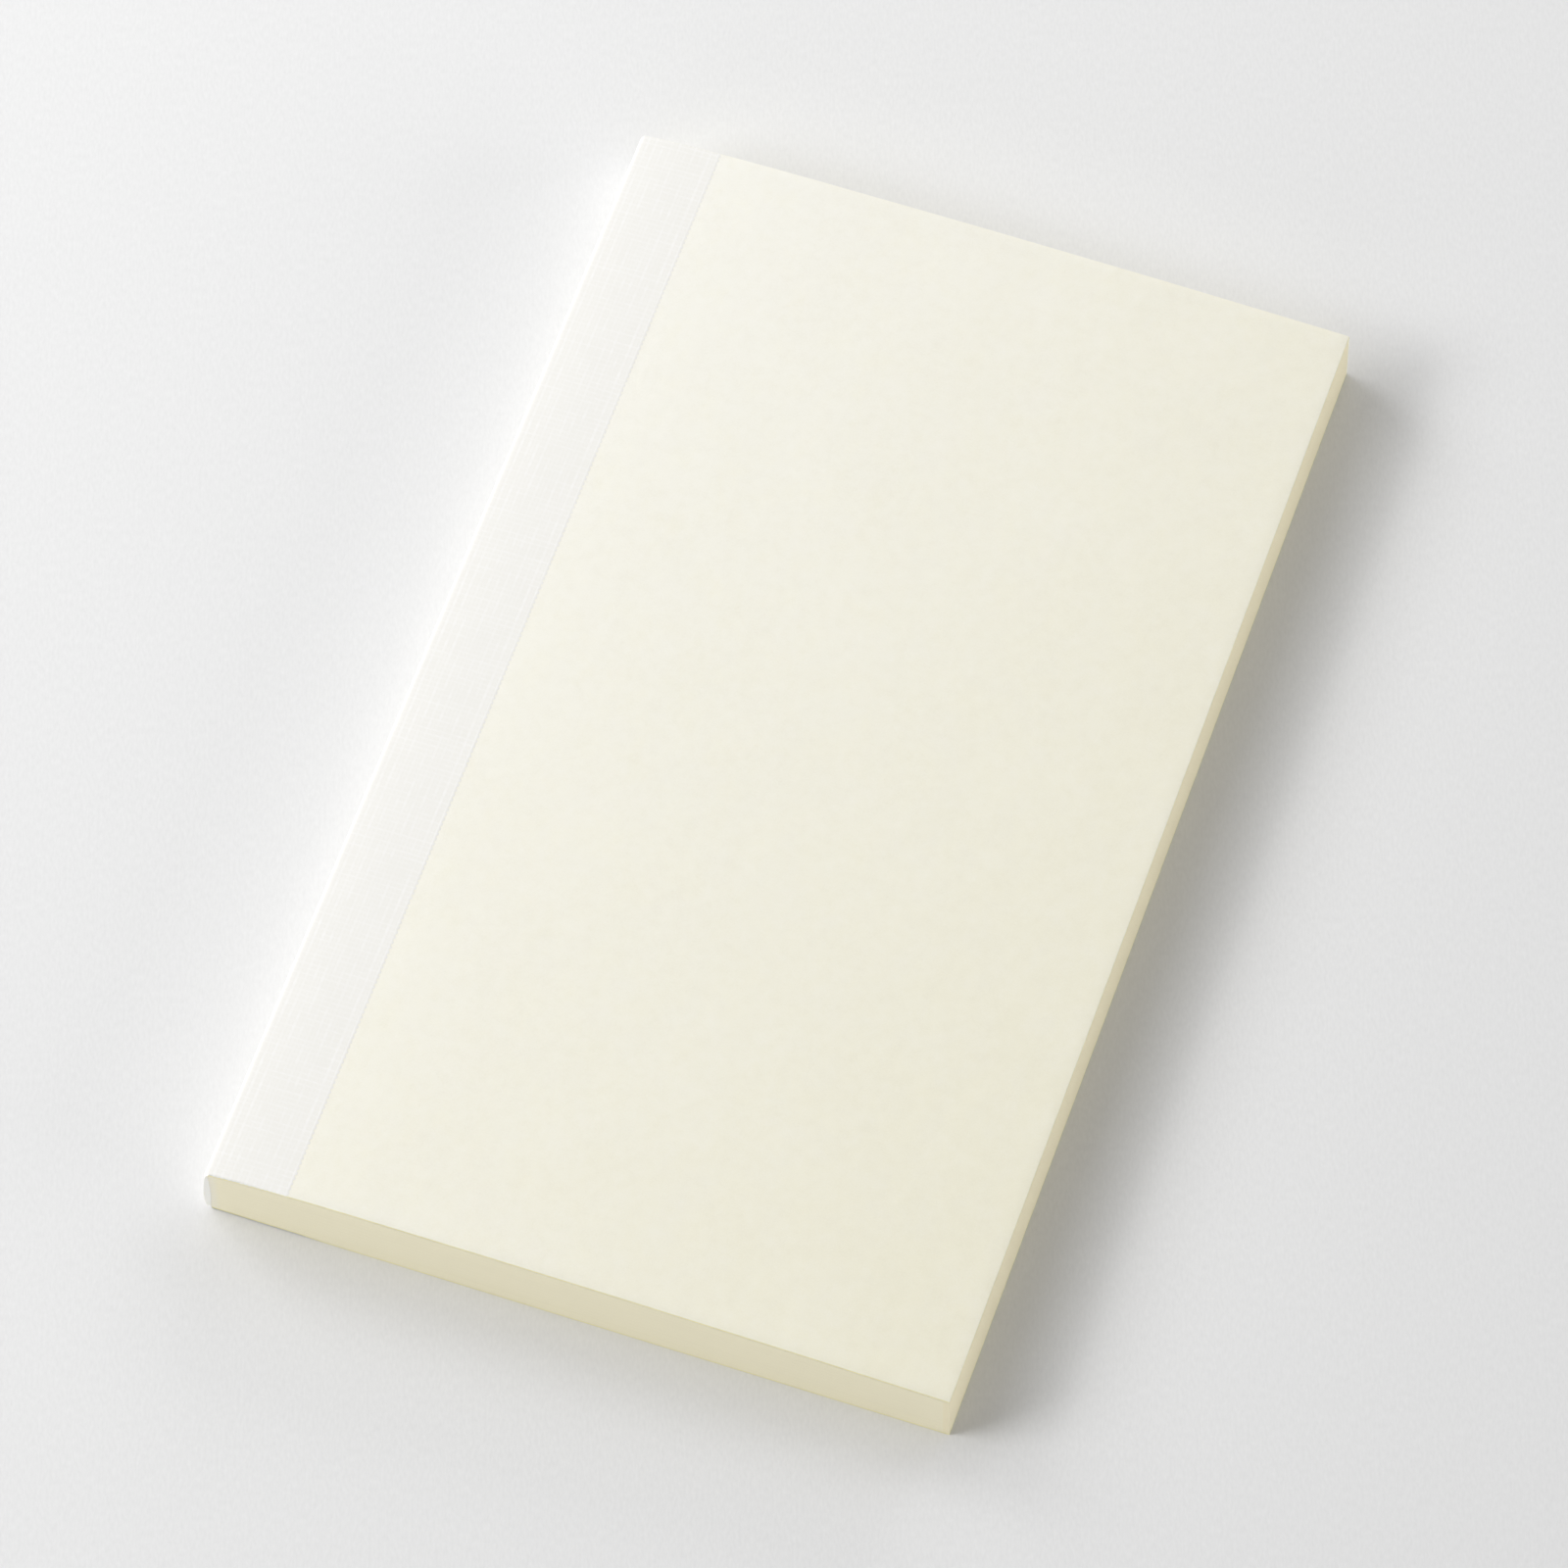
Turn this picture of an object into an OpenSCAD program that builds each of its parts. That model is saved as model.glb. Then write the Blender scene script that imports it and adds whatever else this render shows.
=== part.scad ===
// Sewn grid notebook with a gauze-wrapped back, lying closed on its back cover.
// X runs from the spine to the fore edge, Y from the tail to the head, and Z up from the table.

/* [Book] */
// Trimmed width, from the flat of the spine to the fore edge
book_w = 105; // [80:1:220]
// Trimmed height, from the tail to the head
book_h = 175; // [100:1:310]
// Folded signatures that are sewn into the block
signatures = 11; // [5:1:20]
// Leaves in one folded signature
leaves_per_signature = 8; // [6:2:12]
// Thickness of one leaf with its share of air
leaf_t = 0.101; // [0.08:0.001:0.13]

/* [Crown of the block] */
// How far the loose pages lift the block above its pressed spine
crown_rise = 1.1; // [0.2:0.05:2]
// Distance of the highest line from the spine
crown_d = 40; // [25:1:60]
// How far the block falls from its highest line to the fore edge
crown_fall = 1.1; // [0.2:0.05:2]
// Width of the fore edge that the trimming knife rolled down
roll_w = 1.2; // [0.4:0.1:3]
// Depth of that rolled edge
roll_drop = 0.25; // [0.05:0.05:0.5]

/* [Covers] */
// Thickness of a cover sheet
cover_t = 0.3; // [0.15:0.05:0.8]
// Air between a cover and the page beside it
cover_gap = 0.05; // [0.02:0.01:0.2]

/* [Spine] */
// How far the glued back swells past its shoulders
spine_bulge = 0.85; // [0.2:0.05:1.5]
// Radius of the shoulders that the gauze is drawn round
shoulder_r = 0.35; // [0.2:0.05:0.8]
// Distance of the end folds' tips from the flat of the spine
fold_tip_d = 0.15; // [0.1:0.01:0.4]
// How far the folds in the middle are pressed in behind the end ones
fold_hollow = 0.25; // [0.05:0.05:0.6]
// Depth at which neighbouring folds are pressed together, before their centres
fold_press = 0.1; // [0.05:0.01:0.15]
// Film of adhesive between glued faces
bond_line = 0.02; // [0.01:0.005:0.05]

/* [Gauze] */
// Thickness of the stiffened gauze over its threads
gauze_t = 0.2; // [0.12:0.01:0.4]
// Width of gauze that laps onto each cover
gauze_flap = 12; // [6:0.5:20]
// Spacing of the warp threads, which run from tail to head
warp_pitch = 0.573; // [0.5:0.001:1.2]
// Width of a warp thread
warp_w = 0.3; // [0.2:0.01:0.4]
// How far a warp thread stands out of the cloth
warp_relief = 0.07; // [0.02:0.01:0.1]

/* [Sewing] */
// Diameter of the sewing thread
thread_d = 0.3; // [0.2:0.01:0.36]
// Clearance round the thread in its channels
thread_clear = 0.04; // [0.02:0.01:0.06]
// Distance of the outer sewing holes from the tail and the head
kettle_inset = 12; // [6:0.5:25]
// Sewing holes along each fold
holes = 6; // [3:1:9]

/* [Hidden] */

PAPER = "#e3dec5";
COVER = "#f1efe1";
GAUZE = "#f6f6f2";
GLUE = "#fbfbf6";
THREAD = "#ffffff";

// Facets along the flap, the page, the rolled edge, the step under the gauze, the back and a fold
FLAP_STEPS = 6;
PAGE_STEPS = 20;
ROLL_STEPS = 4;
JOG_STEPS = 5;
BACK_STEPS = 20;
FOLD_STEPS = 8;
// Sides of the thread and of its channels
THREAD_SIDES = 8;

signature_t = leaves_per_signature * leaf_t;
block_t = signatures * signature_t;
fold_r = signature_t / 2;

// The spine's flat lies inside the swelling, and the whole book is centred on X = 0
x_spine = (spine_bulge - book_w) / 2;
x_fore = x_spine + book_w;

// The flap's fold, the covers' spine edge and the hinge line share this distance from the spine
hinge_d = gauze_t + shoulder_r;
end_fold_d = fold_tip_d + fold_r;

// Heights at the spine, from the table up
z_seat = gauze_t + bond_line;
z_under = z_seat + cover_t + cover_gap;
z_over = z_under + block_t;

// The back cover steps down off the gauze over this run, just past the flap's edge
jog_gap = 0.5;
jog_run = 4;

// Exponents of the crown on its spine side and its fore-edge side
CROWN_SPINE_POWER = 4;
CROWN_FORE_POWER = 1.8;

// The swelling is fullest below the middle, because the glue sagged while it set
BULGE_LOW_POWER = 0.3;
BULGE_HIGH_POWER = 0.7;

function x_at(d) = x_spine + d;
function smooth_step(t) = let (u = min(1, max(0, t))) u * u * (3 - 2 * u);

// Height of the page block above its pressed spine, at a distance from the spine
function crown(d) =
    d <= end_fold_d ? 0
    : d < crown_d
        ? crown_rise * (1 - pow((crown_d - d) / (crown_d - end_fold_d), CROWN_SPINE_POWER))
        : crown_rise - crown_fall * pow((d - crown_d) / (book_w - crown_d), CROWN_FORE_POWER);
function rolled(d) = roll_drop * pow(max(0, d - book_w + roll_w) / roll_w, 2);
function page_top(d) = z_over + crown(d) - rolled(d);
function cover_top(d) = page_top(d) + cover_gap + cover_t;
function cover_floor(d) = z_seat * (1 - smooth_step((d - gauze_flap - jog_gap) / jog_run));
function page_floor(d) = cover_floor(d) + cover_t + cover_gap;

// Distances at which the top and the underside are drawn
flap_marks = [for (k = [0:FLAP_STEPS]) hinge_d + (gauze_flap - hinge_d) * k / FLAP_STEPS];
page_marks = [for (k = [1:PAGE_STEPS]) gauze_flap + (book_w - roll_w - gauze_flap) * k / PAGE_STEPS];
roll_marks = [for (k = [1:ROLL_STEPS]) book_w - roll_w + roll_w * k / ROLL_STEPS];
top_marks = concat(flap_marks, page_marks, roll_marks);
jog_marks = [for (k = [0:JOG_STEPS]) gauze_flap + jog_gap + jog_run * k / JOG_STEPS];
floor_marks = concat([hinge_d], jog_marks, [book_w]);

function reversed(list) = [for (k = [len(list) - 1:-1:0]) list[k]];

// Centre of a signature's rounded fold, counted from the back cover
function fold_centre(k) =
    let (u = (k + 0.5) / signatures)
    [x_at(end_fold_d + fold_hollow * 4 * u * (1 - u)), z_under + (k + 0.5) * signature_t];

// Rounded backs of all the folds, from the back cover up, with a flat where two are pressed together
fold_sweep = acos(fold_press / fold_r);
fold_line = [
    for (k = [0:signatures - 1])
    for (j = [0:FOLD_STEPS])
    let (a = fold_sweep * (2 * j / FOLD_STEPS - 1))
    fold_centre(k) + fold_r * [-cos(a), sin(a)]
];

// Inner face of the gauze down the back, from the front shoulder to the back one
z_high = cover_top(hinge_d) + bond_line;
z_low = gauze_t;
bulge_peak = let (s = BULGE_LOW_POWER / (BULGE_LOW_POWER + BULGE_HIGH_POWER))
    pow(s, BULGE_LOW_POWER) * pow(1 - s, BULGE_HIGH_POWER);
function swell(s) = pow(s, BULGE_LOW_POWER) * pow(1 - s, BULGE_HIGH_POWER) / bulge_peak;
function rounded_in(dz) =
    dz >= shoulder_r ? 0 : shoulder_r - sqrt(pow(shoulder_r, 2) - pow(shoulder_r - dz, 2));
function back_x(z) =
    x_at(gauze_t) + rounded_in(z_high - z) + rounded_in(z - z_low)
    - spine_bulge * swell((z - z_low) / (z_high - z_low));
back_line = [
    for (k = [0:BACK_STEPS])
    let (z = z_low + (z_high - z_low) * (1 + cos(180 * k / BACK_STEPS)) / 2)
    [back_x(z), z]
];

// Whole inner face of the gauze, from the front flap's edge to the back flap's edge
gauze_line = concat(
    [for (d = reversed(flap_marks)) [x_at(d), cover_top(d) + bond_line]],
    [for (k = [1:BACK_STEPS - 1]) back_line[k]],
    [for (d = flap_marks) [x_at(d), z_low]]
);
gauze_run = [
    for (k = 0, s = 0; k < len(gauze_line);
        s = s + (k + 1 < len(gauze_line) ? norm(gauze_line[k + 1] - gauze_line[k]) : 0), k = k + 1)
    s
];
gauze_length = gauze_run[len(gauze_run) - 1];
warp_x = [for (k = [0:len(gauze_run) - 1]) [gauze_run[k], gauze_line[k].x]];
warp_z = [for (k = [0:len(gauze_run) - 1]) [gauze_run[k], gauze_line[k].y]];
function gauze_at(s) = [lookup(s, warp_x), lookup(s, warp_z)];

// Point that lies a height above the gauze's inner face, at a distance along it
NORMAL_REACH = 0.12;
function gauze_over(s, height) =
    let (
        way = gauze_at(min(gauze_length, s + NORMAL_REACH)) - gauze_at(max(0, s - NORMAL_REACH)),
        out = [way.y, -way.x] / norm(way)
    )
    gauze_at(s) + out * height;

// One warp thread: up its flank, over its back and down again
warps = floor(gauze_length / warp_pitch);
warp_flank = (warp_pitch - warp_w) / 4;
function warp_ridge(k) =
    let (s = (gauze_length - warps * warp_pitch) / 2 + (k + 0.5) * warp_pitch)
    [
        gauze_over(s - warp_w / 2 - warp_flank, gauze_t - warp_relief),
        gauze_over(s - warp_w / 2, gauze_t),
        gauze_over(s + warp_w / 2, gauze_t),
        gauze_over(s + warp_w / 2 + warp_flank, gauze_t - warp_relief)
    ];

// Sewing holes, from the tail to the head
function hole_y(k) =
    -book_h / 2 + kettle_inset + (book_h - 2 * kettle_inset) * k / (holes - 1);

// The stitch that climbs from fold to fold lies between the fold tips and the fold centres
stitch_in = fold_r * 0.35;
stitch_tip = stitch_in + thread_d / 2;
stitch_core = stitch_in - thread_d / 2;

// Draws a section that lies in X and Z through a length of the book, centred at a place along Y
module along_book(length, y = 0) {
    translate([0, y + length / 2, 0])
        rotate([90, 0, 0])
        linear_extrude(height = length)
        children();
}

// Column of a stitch over all the folds, with its two sides at distances behind the fold centres
module stitch_column(tip_side, core_side, grow) {
    last = signatures - 1;
    ends = [[0, -thread_d / 2 - grow], [last, thread_d / 2 + grow]];
    polygon(concat(
        [fold_centre(0) + [-tip_side, ends[0].y]],
        [for (k = [0:last]) fold_centre(k) + [-tip_side, 0]],
        [fold_centre(last) + [-tip_side, ends[1].y]],
        [fold_centre(last) + [-core_side, ends[1].y]],
        [for (k = [last:-1:0]) fold_centre(k) + [-core_side, 0]],
        [fold_centre(0) + [-core_side, ends[0].y]]
    ));
}

// Round run of thread inside every fold, between the outer sewing holes
module fold_runs(diameter, over_run) {
    length = book_h - 2 * kettle_inset + thread_d + 2 * over_run;
    for (k = [0:signatures - 1])
        translate([fold_centre(k).x, length / 2, fold_centre(k).y])
            rotate([90, 0, 0])
            cylinder(d = diameter, h = length, $fn = THREAD_SIDES);
}

// Section of the folded and trimmed sheets
module block_section() {
    polygon(concat(
        [[x_at(end_fold_d), z_over]],
        [for (d = top_marks) if (d > end_fold_d) [x_at(d), page_top(d)]],
        [for (d = reversed(floor_marks)) if (d > end_fold_d) [x_at(d), page_floor(d)]],
        [[x_at(end_fold_d), z_under]],
        fold_line
    ));
}

module page_block() {
    saw_w = thread_d + 2 * thread_clear;
    color(PAPER)
    difference() {
        along_book(book_h) block_section();
        for (k = [0:holes - 1])
            along_book(saw_w, hole_y(k))
            stitch_column(2 * fold_r, stitch_core - thread_clear, thread_clear);
        fold_runs(thread_d + 2 * thread_clear, thread_clear);
    }
}

module front_cover() {
    color(COVER)
    along_book(book_h)
    polygon(concat(
        [for (d = top_marks) [x_at(d), cover_top(d)]],
        [for (d = reversed(top_marks)) [x_at(d), cover_top(d) - cover_t]]
    ));
}

module back_cover() {
    color(COVER)
    along_book(book_h)
    polygon(concat(
        [for (d = floor_marks) [x_at(d), cover_floor(d) + cover_t]],
        [for (d = reversed(floor_marks)) [x_at(d), cover_floor(d)]]
    ));
}

// One strip of stiffened cloth, drawn round the back and lapped onto both covers
module spine_gauze() {
    color(GAUZE)
    along_book(book_h)
    polygon(concat(
        [gauze_over(0, gauze_t - warp_relief)],
        [for (k = [0:warps - 1]) each warp_ridge(k)],
        [gauze_over(gauze_length, gauze_t - warp_relief)],
        reversed(gauze_line)
    ));
}

// Adhesive that fills the back between the folds and the gauze
module glue_section() {
    rise = [for (p = reversed(back_line)) [p.y, p.x]];
    filled = [for (p = back_line) if (p.y < z_over && p.y > z_under) p];
    polygon(concat(
        [for (p = concat([[lookup(z_over, rise), z_over]], filled, [[lookup(z_under, rise), z_under]]))
            p + [bond_line, 0]],
        [for (p = fold_line) p - [bond_line, 0]]
    ));
}

module spine_glue() {
    saw_w = thread_d + 2 * thread_clear;
    color(GLUE)
    difference() {
        along_book(book_h) glue_section();
        for (k = [0:holes - 1])
            along_book(saw_w, hole_y(k))
            stitch_column(stitch_tip + thread_clear, stitch_core - thread_clear, thread_clear);
    }
}

// One thread: a run inside every fold, joined by a climbing stitch at every sewing hole
module binding_thread() {
    color(THREAD) {
        fold_runs(thread_d, 0);
        for (k = [0:holes - 1])
            along_book(thread_d, hole_y(k))
            stitch_column(stitch_tip, stitch_core, 0);
    }
}

page_block();
front_cover();
back_cover();
spine_gauze();
spine_glue();
binding_thread();
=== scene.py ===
"""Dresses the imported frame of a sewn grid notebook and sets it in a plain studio.

The book lies closed on its back cover. X runs from the spine to the fore edge, Y from the tail
to the head, and Z up from the table. Sizes are written in millimetres, as in the part's own
source, and the meshes are made in metres. MEAN is what a layer of noise comes to on average.
"""

import logging
import math
from collections.abc import Iterator, Sequence
from contextlib import contextmanager
from dataclasses import dataclass, field, replace
from enum import Enum
from typing import Any

import bmesh
import bpy
import numpy as np
from mathutils import Matrix, Vector


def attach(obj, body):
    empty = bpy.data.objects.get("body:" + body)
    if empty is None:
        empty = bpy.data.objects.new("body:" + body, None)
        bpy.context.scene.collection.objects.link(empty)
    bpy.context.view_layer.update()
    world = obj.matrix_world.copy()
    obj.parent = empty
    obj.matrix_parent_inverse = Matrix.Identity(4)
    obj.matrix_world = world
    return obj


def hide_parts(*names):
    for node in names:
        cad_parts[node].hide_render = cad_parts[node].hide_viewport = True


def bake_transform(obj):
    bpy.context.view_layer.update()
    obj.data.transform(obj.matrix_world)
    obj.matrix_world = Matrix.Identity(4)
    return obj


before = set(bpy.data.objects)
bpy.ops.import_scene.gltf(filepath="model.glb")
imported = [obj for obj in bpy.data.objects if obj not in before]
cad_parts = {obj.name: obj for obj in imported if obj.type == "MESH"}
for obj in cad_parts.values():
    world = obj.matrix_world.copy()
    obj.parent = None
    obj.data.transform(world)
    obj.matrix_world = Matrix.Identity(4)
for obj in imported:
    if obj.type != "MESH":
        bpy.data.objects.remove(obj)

MM = 0.001
PER_METRE = 1000.0
MEAN = 0.5
LOG = logging.getLogger("notebook")
Colour = tuple[float, float, float]
Span = tuple[float, float]
INNER = ("inner_x", "inner_y", "inner_z")


class Body(Enum):
    """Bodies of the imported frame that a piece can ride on."""

    BLOCK = "book_block"
    FRONT = "front"
    BACK = "back"


class Side(Enum):
    """The front of the book, which faces up, and its back, which lies on the table."""

    FRONT = "front"
    BACK = "back"


class Slot(Enum):
    """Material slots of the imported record."""

    PAGES = "page_paper"
    COVERS = "cover_paper"
    GAUZE = "gauze"
    GLUE = "glue"
    THREAD = "thread"


def smooth_step(t: np.ndarray) -> np.ndarray:
    """Eases from 0 to 1."""
    u = np.clip(t, 0.0, 1.0)
    return u * u * (3.0 - 2.0 * u)


@dataclass(frozen=True)
class BookForm:
    """Sizes of the closed book, and the lines that its sheets follow, in millimetres.

    A distance d is measured from the flat of the spine towards the fore edge.
    """

    width: float = 105.0
    height: float = 175.0
    signatures: int = 11
    leaves_per_signature: int = 8
    leaf_t: float = 0.101
    crown_rise: float = 1.1
    crown_d: float = 40.0
    crown_fall: float = 1.1
    crown_spine_power: float = 4.0
    crown_fore_power: float = 1.8
    roll_w: float = 1.3
    roll_drop: float = 0.07
    cover_t: float = 0.3
    cover_gap: float = 0.05
    cover_wrap: float = 0.25
    spine_bulge: float = 0.85
    shoulder_r: float = 0.35
    fold_tip_d: float = 0.15
    fold_hollow: float = 0.25
    fold_press: float = 0.1
    bond_line: float = 0.02
    gauze_t: float = 0.2
    gauze_flap: float = 12.0
    jog_gap: float = 0.5
    jog_run: float = 4.0
    bulge_low_power: float = 0.3
    bulge_high_power: float = 0.7

    @property
    def signature_t(self) -> float:
        """Thickness of one folded signature."""
        return self.leaves_per_signature * self.leaf_t

    @property
    def fold_r(self) -> float:
        """Radius of a signature's rounded fold."""
        return self.signature_t / 2

    @property
    def x_spine(self) -> float:
        """Place of the spine's flat along X."""
        return (self.spine_bulge - self.width) / 2

    @property
    def hinge_d(self) -> float:
        """Distance of the covers' hinge lines from the spine."""
        return self.gauze_t + self.shoulder_r

    @property
    def end_fold_d(self) -> float:
        """Distance of the end folds' centres from the spine."""
        return self.fold_tip_d + self.fold_r

    @property
    def z_seat(self) -> float:
        """Height of the back cover's underside where it lies on the gauze."""
        return self.gauze_t + self.bond_line

    @property
    def z_under(self) -> float:
        """Height of the lowest page at the spine."""
        return self.z_seat + self.cover_t + self.cover_gap

    @property
    def z_over(self) -> float:
        """Height of the highest page at the spine."""
        return self.z_under + self.signatures * self.signature_t

    @property
    def z_high(self) -> float:
        """Height of the gauze's inner face on the front shoulder."""
        return float(self.cover_top(np.array(self.hinge_d))) + self.bond_line

    def crown(self, d: np.ndarray) -> np.ndarray:
        """Gives how far the loose pages lift the block above its pressed spine.

        Args:
            d: Distances from the spine.

        Returns:
            The lift at each distance.
        """
        inner = np.clip((self.crown_d - d) / (self.crown_d - self.end_fold_d), 0.0, 1.0)
        outer = np.clip((d - self.crown_d) / (self.width - self.crown_d), 0.0, None)
        rising = self.crown_rise * (1.0 - inner**self.crown_spine_power)
        falling = self.crown_rise - self.crown_fall * outer**self.crown_fore_power
        return np.where(d < self.crown_d, rising, falling)

    def rolled(self, d: np.ndarray) -> np.ndarray:
        """Gives how far the trimming knife rolled the fore edge down."""
        past = np.clip(d - self.width + self.roll_w, 0.0, None)
        return self.roll_drop * (past / self.roll_w) ** 2

    def page_top(self, d: np.ndarray) -> np.ndarray:
        """Gives the height of the first page."""
        return self.z_over + self.crown(d) - self.rolled(d)

    def cover_top(self, d: np.ndarray) -> np.ndarray:
        """Gives the height of the front cover's outer face."""
        return self.page_top(d) + self.cover_gap + self.cover_t

    def cover_floor(self, d: np.ndarray) -> np.ndarray:
        """Gives the height of the back cover's outer face, which steps down off the gauze."""
        past = d - self.gauze_flap - self.jog_gap
        return self.z_seat * (1.0 - smooth_step(past / self.jog_run))

    def page_floor(self, d: np.ndarray) -> np.ndarray:
        """Gives the height of the last page."""
        return self.cover_floor(d) + self.cover_t + self.cover_gap

    def shoulder_drop(self, d: np.ndarray) -> np.ndarray:
        """Gives how far the shoulder has fallen away from its top."""
        inside = np.clip(self.hinge_d - d, 0.0, self.shoulder_r)
        return self.shoulder_r - np.sqrt(self.shoulder_r**2 - inside**2)

    def back_x(self, z: np.ndarray) -> np.ndarray:
        """Gives the place of the gauze's inner face along the swollen back.

        Args:
            z: Heights between the two shoulders.

        Returns:
            The place along X at each height.
        """
        low, high = self.gauze_t, self.z_high
        full = self.bulge_low_power / (self.bulge_low_power + self.bulge_high_power)
        peak = full**self.bulge_low_power * (1.0 - full) ** self.bulge_high_power
        share = np.clip((z - low) / (high - low), 0.0, 1.0)
        swell = share**self.bulge_low_power * (1.0 - share) ** self.bulge_high_power / peak
        rounded = np.zeros_like(z)
        for gap in (high - z, z - low):
            left = np.clip(self.shoulder_r - gap, 0.0, self.shoulder_r)
            rounded = rounded + self.shoulder_r - np.sqrt(self.shoulder_r**2 - left**2)
        return self.x_spine + self.gauze_t + rounded - self.spine_bulge * swell

    def hollow(self, u: np.ndarray) -> np.ndarray:
        """Gives how far the folds stand back at shares of the back's height."""
        return self.fold_hollow * 4.0 * u * (1.0 - u)

    def fold_centre(self, signature: np.ndarray) -> tuple[np.ndarray, np.ndarray]:
        """Gives the centre of a signature's rounded fold."""
        u = (signature + 0.5) / self.signatures
        return self.end_fold_d + self.hollow(u), self.z_under + (signature + 0.5) * self.signature_t


@dataclass(frozen=True)
class Cockle:
    """Faint waves in a cover sheet that has taken up moisture, always off the page below."""

    depth: float = 0.012
    waves: int = 26
    shortest: float = 9.0
    longest: float = 46.0
    edge_lift: float = 0.035
    edge_reach: float = 5.0
    long_power: float = 1.3
    limits: Span = (-1.0, 1.5)
    free_from: float = 2.0
    free_run: float = 16.0
    edge_from: float = 0.6
    edge_run: float = 6.0
    seed: int = 11

    def lift(self, d: np.ndarray, y: np.ndarray, form: BookForm) -> np.ndarray:
        """Gives how far the sheet stands off its plain shape.

        Args:
            d: Distances from the spine.
            y: Places along the height of the book.
            form: The book.

        Returns:
            The lift at each place, in millimetres, never below 0.
        """
        rng = np.random.RandomState(self.seed)
        total = np.zeros(np.broadcast(d, y).shape)
        for _ in range(self.waves):
            length = self.shortest * (self.longest / self.shortest) ** rng.rand()
            turn, phase = rng.rand() * math.pi, rng.rand() * 2 * math.pi
            way = (d * math.cos(turn) + y * math.sin(turn)) * 2 * math.pi / length
            total += np.sin(way + phase) * (length / self.longest) ** self.long_power
        total = total / math.sqrt(self.waves)
        free = smooth_step((d - self.free_from) / self.free_run)
        ends = np.clip(1.0 - (form.height / 2 - np.abs(y)) / self.edge_reach, 0.0, 1.0)
        glued = smooth_step((d - self.edge_from) / self.edge_run)
        waves = self.depth * (1.0 + np.clip(total, *self.limits)) * free
        return waves + self.edge_lift * ends**2 * glued


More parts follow.
